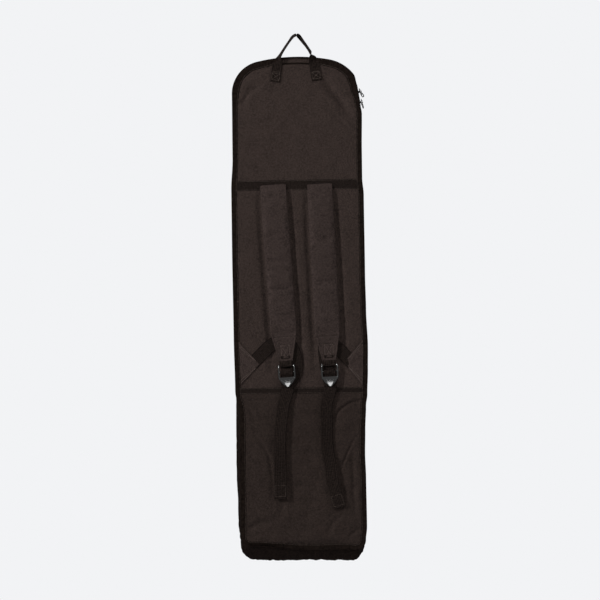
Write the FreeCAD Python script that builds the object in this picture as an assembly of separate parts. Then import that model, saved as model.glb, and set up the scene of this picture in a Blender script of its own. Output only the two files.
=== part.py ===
import FreeCAD, Part
import math
import os

from FreeCAD import Vector

# Hanging snowboard bag seen from its carrying side, in millimetres.
# The origin is the apex of the grab handle, +Z is up and +Y runs from the back panel through the bag.

# Shell outline
half_width = 193.5
shell_top = -68.0
shell_bottom = -1568.0
panel_bottom = -1535.0
left_corner_radius = 97.0
right_corner_radius = 120.0
top_wall_low = -205.0
bottom_wall_high = -1490.0
crown_radius = 526.0
bottom_corner_radius = 40.0
panel_corner_radius = 30.0

# Depth of the shell, from the outer face of the back panel
depth = 90.0
cover_thickness = 1.5
foam_thickness = 5.0
lining_thickness = 1.0
wall = 3.0
skirt_depth = 22.0
rear_wall_end = 58.0
zip_middle = 65.0
front_wall_start = 72.0
fold_gap = 0.4
hinge_side_x = -170.0

# Zip
tape_inner = 2.0
tape_outer = 0.8
coil_outer = -1.0
coil_width = 3.0
coil_gap = 1.0
wing_length = 20.0
wing_width = 12.0
outer_wing = (-3.4, -1.4)
inner_wing = (3.0, 4.6)
post_thickness = 1.2
bridge_height = 4.4
bridge_bar = 1.4
puller_length = 20.0
puller_width = 8.0
puller_thickness = 1.6
puller_tilt = 14.0
upper_slider_turn = 14.3
lower_slider_z = -197.0

# Bands and binding that lie on the back panel
trim = 1.4
binding_width = 15.0
binding_overlap = 1.0
front_binding_width = 6.0
upper_band = (-464.0, -434.0)
lower_band = (-1072.0, -1054.0)

# Grab handle
webbing = 1.8
handle_width = 30.0
handle_hinge_z = -67.0
handle_hinge_y = -2.3
handle_end_top = -68.6
left_handle_end = ((-65.0, -142.0), (-56.5, -76.0), (-52.5, -60.0))
right_handle_end = ((59.7, -137.0), (50.5, -76.0), (46.5, -60.0))
fold_under_top = -90.0
handle_base_z = -66.2
left_handle_base = -54.0
right_handle_base = 48.0
apex_half = 3.0
apex_drop = 2.4
twist_height = 45.0

# Shoulder straps, each measured down from its top seam
strap_tops = {"left": (-76.0, -447.7), "right": (63.4, -446.5)}
strap_lean = {"left": 3.5, "right": 2.35}
pad_width = {"left": 78.0, "right": 75.0}
pad_length = 450.0
pad_back = -2.0
pad_front = -13.0
pad_skin = 1.5
tab_length = 81.0
tab_end_width = 42.0
tab_back = -6.0
tab_front = -9.5
strap_web = 38.0
strap_ply = 1.6
bar_station = 541.0
bar_y = -8.5
bar_radius = 2.0
web_clearance = 0.3

# Ladder lock buckle
lock_width = 50.0
rail_width = 4.5
rail_end = 586.0
rail_y = (-12.5, -4.5)
middle_bar = 560.0
middle_bar_y = -8.0
lower_bar = (576.0, 582.0)
lower_bar_y = (-12.5, -8.5)
thumb_tab_end = 604.0
thumb_tab_y = (-14.0, -12.0)
tail_hinge = 605.2
tail_lead = 8.0
tail_y = (-7.5, -5.9)
rear_ply_y = (-5.7, -4.1)

# Webbing tails, as the line along their middle
tail_lines = {
    "left": (
        (-52.0, -1105.0),
        (-59.3, -1150.0),
        (-63.4, -1195.0),
        (-64.9, -1240.0),
        (-64.3, -1284.0),
        (-64.6, -1329.0),
        (-65.3, -1383.0),
    ),
    "right": (
        (75.7, -1107.0),
        (75.7, -1152.0),
        (76.0, -1197.0),
        (78.4, -1241.0),
        (85.2, -1286.0),
        (90.6, -1331.0),
        (101.9, -1379.0),
        (111.9, -1413.0),
    ),
}
tail_hem = 44.0

# Triangular anchor tabs and the webbing that leaves them
anchor_corners = {
    "left": ((-178.0, -920.0), (-121.0, -984.0), (-176.0, -1041.0)),
    "right": ((178.0, -915.0), (126.6, -981.5), (178.0, -1046.0)),
}
anchor_webs = {
    "left": ((-161.8, -997.4), (-56.8, -896.0)),
    "right": ((163.8, -993.0), (72.8, -895.3)),
}
return_webs = {
    "left": (
        (-50.0, -912.0),
        (-34.0, -938.0),
        (-17.0, -962.0),
        (-9.4, -990.0),
        (-16.0, -1018.0),
        (-36.0, -1040.0),
    ),
    "right": (
        (72.0, -912.0),
        (71.0, -942.0),
        (74.0, -975.0),
        (80.0, -1006.0),
        (88.0, -1038.0),
    ),
}
anchor_width = 38.8
anchor_tab_depth = 3.2


def box(x_low, x_high, y_low, y_high, z_low, z_high):
    size = (x_high - x_low, y_high - y_low, z_high - z_low)
    return Part.makeBox(*size, Vector(x_low, y_low, z_low))


def flat(points, y):
    """A closed polygon in the plane at that depth."""
    corners = [Vector(x, y, z) for x, z in points]
    return Part.makePolygon(corners + corners[:1])


def plate(points, y_low, y_high):
    return Part.Face(flat(points, y_low)).extrude(Vector(0, y_high - y_low, 0))


def side_profile(points, half):
    """A polygon of depth and height, made solid from -half to half along X."""
    corners = [Vector(-half, y, z) for y, z in points]
    face = Part.Face(Part.makePolygon(corners + corners[:1]))
    return face.extrude(Vector(2 * half, 0, 0))


def rod(x_half, y, z, radius):
    return Part.makeCylinder(radius, 2 * x_half, Vector(-x_half, y, z), Vector(1, 0, 0))


def corner_geometry(radius):
    """A top corner's centre, and the direction in which its arc meets the crown."""
    crown_centre = shell_top - crown_radius
    corner_x = half_width - radius
    reach = crown_radius - radius
    rise = math.sqrt(reach * reach - corner_x * corner_x)
    return corner_x, crown_centre + rise, corner_x / reach, rise / reach


def top_corner(radius, offset):
    """Points on the right-hand side of a top corner: its foot, its middle and its meeting with the crown."""
    corner_x, corner_z, out_x, out_z = corner_geometry(radius)
    reach = radius - offset
    half_turn = math.atan2(out_z, out_x) / 2
    foot = (corner_x + reach, corner_z)
    knee = (
        corner_x + reach * math.cos(half_turn),
        corner_z + reach * math.sin(half_turn),
    )
    return foot, knee, (corner_x + reach * out_x, corner_z + reach * out_z)


def outline(offset, y, bottom=shell_bottom, bottom_radius=bottom_corner_radius):
    """The shell's outline drawn in by offset: two sides, a low crown and four round corners."""
    side = half_width - offset
    low_radius = bottom_radius - offset
    low = bottom + offset
    foot, knee, crown = top_corner(right_corner_radius, offset)
    left_foot, left_knee, left_crown = (
        (-x, z) for x, z in top_corner(left_corner_radius, offset)
    )
    diagonal = low_radius * (1 - math.sqrt(0.5))

    def at(x, z):
        return Vector(x, y, z)

    def arc(a, b, c):
        return Part.Arc(at(*a), at(*b), at(*c)).toShape()

    def line(a, b):
        return Part.LineSegment(at(*a), at(*b)).toShape()

    edges = [
        line((side, low + low_radius), foot),
        arc(foot, knee, crown),
        arc(crown, (0, shell_top - offset), left_crown),
        arc(left_crown, left_knee, left_foot),
        line(left_foot, (-side, low + low_radius)),
        arc(
            (-side, low + low_radius),
            (-side + diagonal, low + diagonal),
            (-side + low_radius, low),
        ),
        line((-side + low_radius, low), (side - low_radius, low)),
        arc(
            (side - low_radius, low),
            (side - diagonal, low + diagonal),
            (side, low + low_radius),
        ),
    ]
    return Part.Wire(edges)


def slab(offset, y_low, y_high, **bottom):
    face = Part.Face(outline(offset, y_low, **bottom))
    return face.extrude(Vector(0, y_high - y_low, 0))


def ring(outer, inner, y_low, y_high, **bottom):
    return slab(outer, y_low, y_high, **bottom).cut(
        slab(inner, y_low, y_high, **bottom)
    )


panel = {"bottom": panel_bottom, "bottom_radius": panel_corner_radius}
far = 2000.0


def band(shape, z_low, z_high):
    return shape.common(box(-far, far, -far, far, z_low, z_high))


def skirt(offset):
    """The solid between the back panel's outline and the shell's wider one."""
    start = outline(offset, cover_thickness, **panel)
    return Part.makeLoft([start, outline(offset, skirt_depth)], True, True)


def back_panel(nodes):
    cover = slab(0, 0, cover_thickness, **panel)
    upper_seam = sum(upper_band) / 2
    lower_seam = sum(lower_band) / 2
    nodes["back_panel_upper"] = band(cover, upper_seam, 0)
    nodes["back_panel_middle"] = band(cover, lower_seam, upper_seam)
    nodes["back_panel_lower"] = band(cover, -far, lower_seam)
    foam_end = cover_thickness + foam_thickness
    nodes["back_panel_foam"] = slab(wall, cover_thickness, foam_end, **panel)
    lining_end = foam_end + lining_thickness
    nodes["back_panel_lining"] = slab(wall, foam_end, lining_end, **panel)


def hinge_fold(y_low, y_high):
    """The part of a wall that carries on past the zip along the folding left side."""
    strip = ring(0, wall, y_low, y_high)
    return strip.common(box(-far, hinge_side_x, -far, far, -far, far))


def split_wall(nodes, prefix, walls, fold):
    nodes[prefix + "top"] = band(walls, top_wall_low, 0)
    nodes[prefix + "bottom"] = band(walls, -far, bottom_wall_high)
    sides = band(walls, bottom_wall_high, top_wall_low)
    left = sides.common(box(-far, 0, -far, far, -far, far))
    nodes[prefix + "left"] = left.fuse(fold).removeSplitter()
    nodes[prefix + "right"] = sides.common(box(0, far, -far, far, -far, far))


def gussets(nodes):
    hollow_skirt = skirt(0).cut(skirt(wall))
    rear = hollow_skirt.fuse(ring(0, wall, skirt_depth, rear_wall_end)).removeSplitter()
    fold = hinge_fold(rear_wall_end, zip_middle - fold_gap)
    split_wall(nodes, "rear_gusset_", rear, fold)
    front = ring(0, wall, front_wall_start, depth - 4.0)
    fold = hinge_fold(zip_middle + fold_gap, front_wall_start)
    split_wall(nodes, "front_gusset_", front, fold)


def front_panel(nodes):
    lining_start = depth - cover_thickness - foam_thickness - lining_thickness
    foam_start = lining_start + lining_thickness
    foam_end = depth - cover_thickness
    nodes["front_panel_lining"] = slab(wall, lining_start, foam_start)
    nodes["front_panel_foam"] = slab(front_binding_width, foam_start, foam_end)
    nodes["front_panel_cover"] = slab(front_binding_width, foam_end, depth)
    edge = ring(-binding_overlap, front_binding_width, depth - 4.0, depth)
    nodes["front_binding"] = edge


def bands(nodes):
    edge = ring(-binding_overlap, binding_width, -trim, 0, **panel)
    nodes["back_binding"] = edge
    inside = half_width - binding_width
    for name, (low, high) in (("upper_band", upper_band), ("lower_band", lower_band)):
        nodes[name] = box(-inside, inside, -trim, 0, low, high)


def zip_strip(outer, inner, y_low, y_high):
    opening = box(hinge_side_x, far, -far, far, -far, far)
    return ring(outer, inner, y_low, y_high).common(opening)


def zip_halves(nodes):
    rear_end = zip_middle - coil_gap
    front_start = zip_middle + coil_gap
    nodes["rear_zip_tape"] = zip_strip(tape_outer, tape_inner, rear_wall_end, rear_end)
    nodes["rear_zip_coil"] = zip_strip(
        coil_outer, tape_outer, rear_end - coil_width, rear_end
    )
    nodes["front_zip_tape"] = zip_strip(
        tape_outer, tape_inner, front_start, front_wall_start
    )
    nodes["front_zip_coil"] = zip_strip(
        coil_outer, tape_outer, front_start, front_start + coil_width
    )


def slider(z):
    """Two wings joined by a thin post, with a bridge for the puller, on the straight right side."""
    low = z - wing_length / 2
    high = z + wing_length / 2
    y_low = zip_middle - wing_width / 2
    y_high = zip_middle + wing_width / 2
    outside = half_width - outer_wing[0]
    outer = box(half_width - outer_wing[1], outside, y_low, y_high, low, high)
    inner = box(
        half_width - inner_wing[1],
        half_width - inner_wing[0],
        y_low,
        y_high,
        low,
        high,
    )
    half_post = post_thickness / 2
    post = box(
        half_width - inner_wing[0],
        half_width - outer_wing[1],
        zip_middle - half_post,
        zip_middle + half_post,
        z - 3.0,
        z + 3.0,
    )
    arch = box(outside, outside + bridge_height, 63.5, 66.5, z - 6.0, z + 6.0)
    eye = box(
        outside,
        outside + bridge_height - bridge_bar,
        63.0,
        67.0,
        z - 4.6,
        z + 4.6,
    )
    return outer.fuse([inner, post, arch.cut(eye)]).removeSplitter()


def pin_place(z):
    """Where the puller's pin runs through the slider's bridge."""
    room = bridge_height - bridge_bar
    return half_width - outer_wing[0] + room / 2, z


def puller(z):
    """A flat tab with an open end, on two arms that hold the pin."""
    x, _ = pin_place(z)
    half_pin = puller_width / 2
    pin = Part.makeCylinder(
        0.8, puller_width, Vector(x, zip_middle - half_pin, z), Vector(0, 1, 0)
    )
    half_tab = puller_thickness / 2
    tab = box(
        x - half_tab,
        x + half_tab,
        zip_middle - half_pin,
        zip_middle + half_pin,
        z - puller_length,
        z + half_tab,
    )
    fork = box(x - 3, x + 3, zip_middle - 2.2, zip_middle + 2.2, z - 8.0, z + 2.0)
    slot = box(
        x - 3,
        x + 3,
        zip_middle - 2.2,
        zip_middle + 2.2,
        z - puller_length + 2.5,
        z - 11.0,
    )
    shape = tab.cut(fork).cut(slot).fuse(pin).removeSplitter()
    shape.rotate(Vector(x, zip_middle, z), Vector(0, 1, 0), -puller_tilt)
    return shape


def sliders(nodes):
    corner_x, corner_z, _, _ = corner_geometry(right_corner_radius)
    upper = {"upper_slider": slider(corner_z), "upper_puller": puller(corner_z)}
    for name, shape in upper.items():
        shape.rotate(
            Vector(corner_x, 0, corner_z), Vector(0, -1, 0), upper_slider_turn
        )
        nodes[name] = shape
    nodes["lower_slider"] = slider(lower_slider_z)
    nodes["lower_puller"] = puller(lower_slider_z)


def ribbon_outline(points, width):
    """The two edges of a flat strip of that width along a line of points, as one polygon."""
    left, right = [], []
    last = len(points) - 1
    for i, (x, z) in enumerate(points):
        x0, z0 = points[max(i - 1, 0)]
        x1, z1 = points[min(i + 1, last)]
        length = math.hypot(x1 - x0, z1 - z0)
        out_x = (z1 - z0) / length * width / 2
        out_z = -(x1 - x0) / length * width / 2
        left.append((x - out_x, z - out_z))
        right.append((x + out_x, z + out_z))
    return left + right[::-1]


def ribbon(points, width, y_low, y_high):
    return plate(ribbon_outline(points, width), y_low, y_high)


def handle_ends(nodes):
    """Each end of the grab handle lies flat on the panel, over a folded second ply."""
    ends = {"left": left_handle_end, "right": right_handle_end}
    for side, line in ends.items():
        front = ribbon(line, handle_width, -trim - webbing, -trim)
        under = band(ribbon(line, handle_width, -trim, 0), -far, fold_under_top)
        shape = band(front.fuse(under).removeSplitter(), -far, handle_end_top)
        nodes[side + "_handle_end"] = shape


def handle_section(x, z, along_x, along_z, turn):
    """A cut through the webbing, turned about the line that it follows."""
    length = math.hypot(along_x, along_z)
    across = Vector(along_z / length, 0, -along_x / length)
    inward = Vector(0, 1, 0)
    wide = across * math.cos(turn) + inward * math.sin(turn)
    thin = inward * math.cos(turn) - across * math.sin(turn)
    centre = Vector(x, handle_hinge_y, z)
    a = wide * (handle_width / 2)
    b = thin * (webbing / 2)
    corners = [centre - a - b, centre + a - b, centre + a + b, centre - a + b]
    return Part.makePolygon(corners + corners[:1])


def handle_leg(base_x, apex_x):
    """Sections from the flat foot of one leg up to the apex, where the webbing stands on edge."""
    rise = -apex_drop - handle_base_z
    run = apex_x - base_x
    sections = [handle_section(base_x, handle_base_z, 0, 1, 0)]
    for share in (0.15, 0.35, 0.55, 0.75, 1.0):
        height = rise * share
        turn = min(height / twist_height, 1.0) * math.pi / 2
        x = base_x + run * share
        sections.append(handle_section(x, handle_base_z + height, run, rise, turn))
    return sections


def handle_loop(nodes):
    """The handle's triangle: two legs that twist on edge, joined over the apex."""
    left = Part.makeLoft(handle_leg(left_handle_base, -apex_half), True, True)
    right = Part.makeLoft(handle_leg(right_handle_base, apex_half), True, True)
    half = handle_width / 2
    top = Part.makeCylinder(
        apex_half + 1.4,
        handle_width,
        Vector(0, handle_hinge_y - half, -apex_half - 1.4),
        Vector(0, 1, 0),
    )
    hollow = Part.makeCylinder(
        apex_half - 0.4,
        handle_width,
        Vector(0, handle_hinge_y - half, -apex_half - 1.4),
        Vector(0, 1, 0),
    )
    top = band(top.cut(hollow), -apex_drop - 1.2, 0)
    nodes["handle_loop"] = left.fuse([right, top]).removeSplitter()


def placed(shape, side):
    """Moves a strap piece from its own frame to its top seam, leaning as it hangs."""
    x, z = strap_tops[side]
    shape.rotate(Vector(0, 0, 0), Vector(0, 1, 0), -strap_lean[side])
    shape.translate(Vector(x, 0, z))
    return shape


def strap_point(side, station):
    lean = math.radians(strap_lean[side])
    x, z = strap_tops[side]
    return x + station * math.sin(lean), z - station * math.cos(lean)


def pad_profile(inset):
    """Side view of a shoulder pad: thin at its top seam, full along its length, short at its end."""
    back = pad_back - inset
    front = pad_front + inset
    return (
        (back, -inset),
        (back - 2.5 + inset, -inset),
        (front + 2.0, -18.0 - inset),
        (front, -40.0 - inset),
        (front, -pad_length + 22.0),
        (tab_front + inset, -pad_length + inset),
        (back, -pad_length + inset),
    )


def shoulder_pad(nodes, side):
    half = pad_width[side] / 2
    outer = side_profile(pad_profile(0), half)
    inner = side_profile(pad_profile(pad_skin), half - pad_skin * 2)
    nodes[side + "_pad_cover"] = placed(outer.cut(inner), side)
    nodes[side + "_pad_foam"] = placed(inner, side)


def end_tab(nodes, side):
    top = pad_width[side] / 2
    low = tab_end_width / 2
    end = -pad_length - tab_length + 4.0
    corners = ((-top, -pad_length), (top, -pad_length), (low, end), (-low, end))
    nodes[side + "_end_tab"] = placed(plate(corners, tab_front, tab_back), side)


def wrap(y, station, radius, half):
    """A solid bar along X, for cutting or carrying a turn of webbing."""
    return rod(half, y, -station, radius)


def buckle_loop(nodes, side):
    """A short loop of webbing from the end tab round the buckle's top bar."""
    half = strap_web / 2
    inner = bar_radius + web_clearance
    outer = inner + strap_ply
    end = -pad_length - tab_length + 4.0
    solid = side_profile(
        (
            (tab_front + 0.2, end),
            (bar_y - outer, -bar_station),
            (bar_y + outer, -bar_station),
            (tab_back - 0.1, end),
        ),
        half,
    ).fuse(wrap(bar_y, bar_station, outer, half))
    hollow = side_profile(
        (
            (bar_y, end - 1.5),
            (bar_y - inner, -bar_station),
            (bar_y + inner, -bar_station),
        ),
        half,
    ).fuse(wrap(bar_y, bar_station, inner, half))
    nodes[side + "_buckle_loop"] = placed(solid.cut(hollow).removeSplitter(), side)


def ladder_lock(nodes, side):
    """Two rails, three bars and a rounded thumb tab."""
    half = lock_width / 2
    inside = half - rail_width
    rails = [
        box(x, x + rail_width, *rail_y, -rail_end, -bar_station + bar_radius)
        for x in (-half, inside)
    ]
    top = rod(inside, bar_y, -bar_station, bar_radius)
    middle = rod(inside, middle_bar_y, -middle_bar, bar_radius)
    lower = box(-inside, inside, *lower_bar_y, -lower_bar[1], -lower_bar[0])
    corners = (
        (-20.0, -lower_bar[0]),
        (20.0, -lower_bar[0]),
        (18.0, -590.0),
        (9.0, -601.5),
        (4.0, -thumb_tab_end),
        (-4.0, -thumb_tab_end),
        (-9.0, -601.5),
        (-18.0, -590.0),
    )
    tab = plate(corners, *thumb_tab_y)
    shape = rails[0].fuse([rails[1], top, middle, lower, tab]).removeSplitter()
    nodes[side + "_ladder_lock"] = placed(shape, side)


def buckle_webbing(nodes, side):
    """The turn of webbing inside the buckle: up behind, over the middle bar and down in front."""
    half = strap_web / 2
    inner = bar_radius + web_clearance
    outer = inner + strap_ply
    low = -thumb_tab_end
    rear = side_profile(
        (
            (rear_ply_y[0], low),
            (rear_ply_y[1], low),
            (middle_bar_y + outer, -middle_bar),
            (middle_bar_y + inner, -middle_bar),
        ),
        half,
    )
    turn = wrap(middle_bar_y, middle_bar, outer, half).cut(
        wrap(middle_bar_y, middle_bar, inner, half)
    )
    turn = band(turn, -middle_bar, 0)
    front = side_profile(
        (
            (middle_bar_y - outer, -middle_bar),
            (middle_bar_y - inner, -middle_bar),
            (middle_bar_y - inner, -middle_bar - 5.0),
            (tail_y[1], -middle_bar - 14.0),
            (tail_y[1], low),
            (tail_y[0], low),
            (tail_y[0], -middle_bar - 13.0),
            (middle_bar_y - outer, -middle_bar - 5.0),
        ),
        half,
    )
    shape = turn.fuse([rear, front]).removeSplitter()
    nodes[side + "_buckle_webbing"] = placed(shape, side)


def tail(nodes, side):
    """The loose end of the strap, with its tip folded back once and sewn."""
    lead = (strap_point(side, tail_hinge), strap_point(side, tail_hinge + tail_lead))
    line = lead + tail_lines[side]
    shape = ribbon(line, strap_web, *tail_y)
    tip_x, tip_z = line[-1]
    before_x, before_z = line[-2]
    length = math.hypot(tip_x - before_x, tip_z - before_z)
    share = tail_hem / length
    start = (tip_x - (tip_x - before_x) * share, tip_z - (tip_z - before_z) * share)
    hem = ribbon((start, line[-1]), strap_web, tail_y[1], tail_y[1] + strap_ply)
    nodes[side + "_tail"] = shape.fuse(hem).removeSplitter()


def anchor(nodes, side):
    """Webbing from inside the tab to a fold under the pad, then back to the buckle, and the tab over it."""
    first = ribbon(anchor_webs[side], anchor_width, -strap_ply, 0)
    second = ribbon(return_webs[side], anchor_width, -2 * strap_ply, -strap_ply)
    nodes[side + "_anchor_webbing"] = first.fuse(second).removeSplitter()
    tab = plate(anchor_corners[side], -anchor_tab_depth, 0)
    nodes[side + "_anchor_tab"] = tab.cut(first)


def strap(nodes, side):
    for make in (shoulder_pad, end_tab, buckle_loop, ladder_lock, buckle_webbing):
        make(nodes, side)
    tail(nodes, side)
    anchor(nodes, side)


def build():
    nodes = {}
    for make in (back_panel, gussets, front_panel, bands, zip_halves, sliders):
        make(nodes)
    handle_ends(nodes)
    handle_loop(nodes)
    for side in ("left", "right"):
        strap(nodes, side)
    return nodes


os.makedirs("parts", exist_ok=True)
for name, shape in build().items():
    print(name, len(shape.Solids), round(shape.Volume / 1000, 2), shape.isValid())
    shape.exportStep("parts/" + name + ".step")
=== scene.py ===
import math
import bmesh
import bpy
from mathutils import Matrix, Vector, noise


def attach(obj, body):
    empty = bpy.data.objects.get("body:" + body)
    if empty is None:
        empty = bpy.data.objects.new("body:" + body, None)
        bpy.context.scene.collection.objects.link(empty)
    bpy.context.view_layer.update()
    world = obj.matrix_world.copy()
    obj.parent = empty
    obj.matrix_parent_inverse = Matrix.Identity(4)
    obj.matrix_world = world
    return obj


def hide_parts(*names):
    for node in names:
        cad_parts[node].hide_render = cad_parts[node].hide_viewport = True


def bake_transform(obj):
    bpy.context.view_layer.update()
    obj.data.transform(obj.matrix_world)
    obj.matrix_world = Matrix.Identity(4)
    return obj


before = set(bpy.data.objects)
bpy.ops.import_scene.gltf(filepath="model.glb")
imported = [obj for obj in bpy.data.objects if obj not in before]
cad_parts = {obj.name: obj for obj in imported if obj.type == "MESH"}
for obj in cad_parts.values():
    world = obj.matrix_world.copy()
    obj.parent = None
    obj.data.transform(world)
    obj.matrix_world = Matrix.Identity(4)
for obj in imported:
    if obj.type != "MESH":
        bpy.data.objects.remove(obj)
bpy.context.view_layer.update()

# Everything below is in millimetres in the frame's own axes, and each mesh is scaled to metres at its end.
# +X is right and +Z up as seen facing the straps, and +Y runs from the back panel into the bag.
mm = 0.001
scene = bpy.context.scene
scene.view_settings.view_transform = "Standard"


def linear(hexColour):
    channels = [int(hexColour[i:i + 2], 16) / 255 for i in (1, 3, 5)]
    return [c / 12.92 if c <= 0.04045 else ((c + 0.055) / 1.055) ** 2.4 for c in channels] + [1.0]


def addNode(tree, kind, settings=None, links=None):
    node = tree.nodes.new(kind)
    for key, value in (settings or {}).items():
        if isinstance(key, str) and hasattr(node, key):
            setattr(node, key, value)
        else:
            node.inputs[key].default_value = value
    for socket, source in (links or {}).items():
        tree.links.new(source, node.inputs[socket])
    return node


def wave(tree, source, direction, spacing):
    # a sine along one direction, one turn for each spacing in millimetres
    along = addNode(tree, "ShaderNodeVectorMath", {"operation": "DOT_PRODUCT", 1: direction}, {0: source})
    turns = 2 * math.pi / (spacing * mm)
    angle = addNode(tree, "ShaderNodeMath", {"operation": "MULTIPLY", 1: turns}, {0: along.outputs["Value"]})
    return addNode(tree, "ShaderNodeMath", {"operation": "SINE"}, {0: angle.outputs[0]}).outputs[0]


def speckle(tree, source, size, detail=2.0):
    # noise whose blobs are about that many millimetres across
    settings = {"Scale": 1 / (size * mm), "Detail": detail, "Roughness": 0.55}
    return addNode(tree, "ShaderNodeTexNoise", settings, {"Vector": source}).outputs["Fac"]


def blendOf(tree, factor, low, high, lowEdge=0.3, highEdge=0.7):
    ramp = addNode(tree, "ShaderNodeValToRGB", None, {"Fac": factor})
    ramp.color_ramp.elements[0].position = lowEdge
    ramp.color_ramp.elements[1].position = highEdge
    ramp.color_ramp.elements[0].color = linear(low)
    ramp.color_ramp.elements[1].color = linear(high)
    return ramp.outputs["Color"]


def product(tree, first, second):
    return addNode(tree, "ShaderNodeMath", {"operation": "MULTIPLY"}, {0: first, 1: second}).outputs[0]


def weighted(tree, first, weight, second):
    # first times weight, plus second
    settings = {"operation": "MULTIPLY_ADD", 1: weight}
    return addNode(tree, "ShaderNodeMath", settings, {0: first, 2: second}).outputs[0]


def startMaterial(name, settings):
    material = bpy.data.materials.new(name)
    material.use_nodes = True
    shader = material.node_tree.nodes["Principled BSDF"]
    for socket, value in settings.items():
        shader.inputs[socket].default_value = value
    return material, material.node_tree, shader


def finishMaterial(tree, shader, colour, height, depth, roughness=None):
    # depth is how far the height's 0 to 1 reaches, in millimetres
    bump = addNode(tree, "ShaderNodeBump", {"Strength": 1.0, "Distance": depth * mm}, {"Height": height})
    tree.links.new(bump.outputs["Normal"], shader.inputs["Normal"])
    tree.links.new(colour, shader.inputs["Base Color"])
    if roughness:
        low, high, factor = roughness
        settings = {"To Min": low, "To Max": high}
        spread = addNode(tree, "ShaderNodeMapRange", settings, {"Value": factor})
        tree.links.new(spread.outputs["Result"], shader.inputs["Roughness"])


def wovenCloth(name, settings):
    sockets = {"Sheen Weight": settings["sheen"], "Sheen Roughness": 0.5, "IOR": settings["ior"]}
    material, tree, shader = startMaterial(name, sockets)
    place = addNode(tree, "ShaderNodeTexCoord").outputs["Object"]
    warp = wave(tree, place, (1.0, 1.0, 0.0), settings["thread"])
    weft = wave(tree, place, (0.0, 0.7, 1.0), settings["thread"])
    weave = product(tree, warp, weft)
    slub = speckle(tree, place, settings["slub"], 3.0)
    patches = speckle(tree, place, settings["patch"], 4.0)
    mixed = weighted(tree, slub, 0.85, weighted(tree, patches, settings["mottle"], product(tree, weave, patches)))
    colour = blendOf(tree, mixed, settings["dark"], settings["light"], 0.42, 0.68)
    height = weighted(tree, weave, 0.35, weighted(tree, slub, 0.9, patches))
    finishMaterial(tree, shader, colour, height, settings["relief"], (*settings["roughness"], slub))
    return material


def ribbedWebbing(name, settings):
    sockets = {"Sheen Weight": settings["sheen"], "Sheen Roughness": 0.4, "IOR": settings["ior"]}
    material, tree, shader = startMaterial(name, sockets)
    place = addNode(tree, "ShaderNodeTexCoord").outputs["UV"]
    ribs = wave(tree, place, (1.0, 0.0, 0.0), settings["rib"])
    picks = wave(tree, place, (0.0, 1.0, 0.0), settings["pick"])
    twill = wave(tree, place, (0.7, 0.7, 0.0), settings["pick"])
    weave = weighted(tree, picks, 0.4, weighted(tree, twill, 0.3, ribs))
    fluff = speckle(tree, place, settings["fluff"], 3.0)
    # the weave also lightens the colour along each rib and pick: partly its pattern, partly a painted gleam
    mixed = weighted(tree, weave, 0.12, fluff)
    colour = blendOf(tree, mixed, settings["dark"], settings["light"])
    height = weighted(tree, weave, 0.4, fluff)
    finishMaterial(tree, shader, colour, height, settings["relief"], (*settings["roughness"], fluff))
    return material


def mouldedSolid(name, settings):
    sockets = {
        "Metallic": settings.get("metallic", 0.0),
        "Coat Weight": settings.get("coat", 0.0),
        "Coat Roughness": 0.15,
        "IOR": settings.get("ior", 1.5),
    }
    material, tree, shader = startMaterial(name, sockets)
    place = addNode(tree, "ShaderNodeTexCoord").outputs["Object"]
    grain = speckle(tree, place, settings["grain"], 3.0)
    scuff = speckle(tree, place, settings["scuff"], 5.0)
    mixed = weighted(tree, grain, 0.25, scuff)
    colour = blendOf(tree, mixed, settings["dark"], settings["light"], 0.5, 0.85)
    finishMaterial(tree, shader, colour, grain, settings["relief"], (*settings["roughness"], scuff))
    return material


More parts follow.
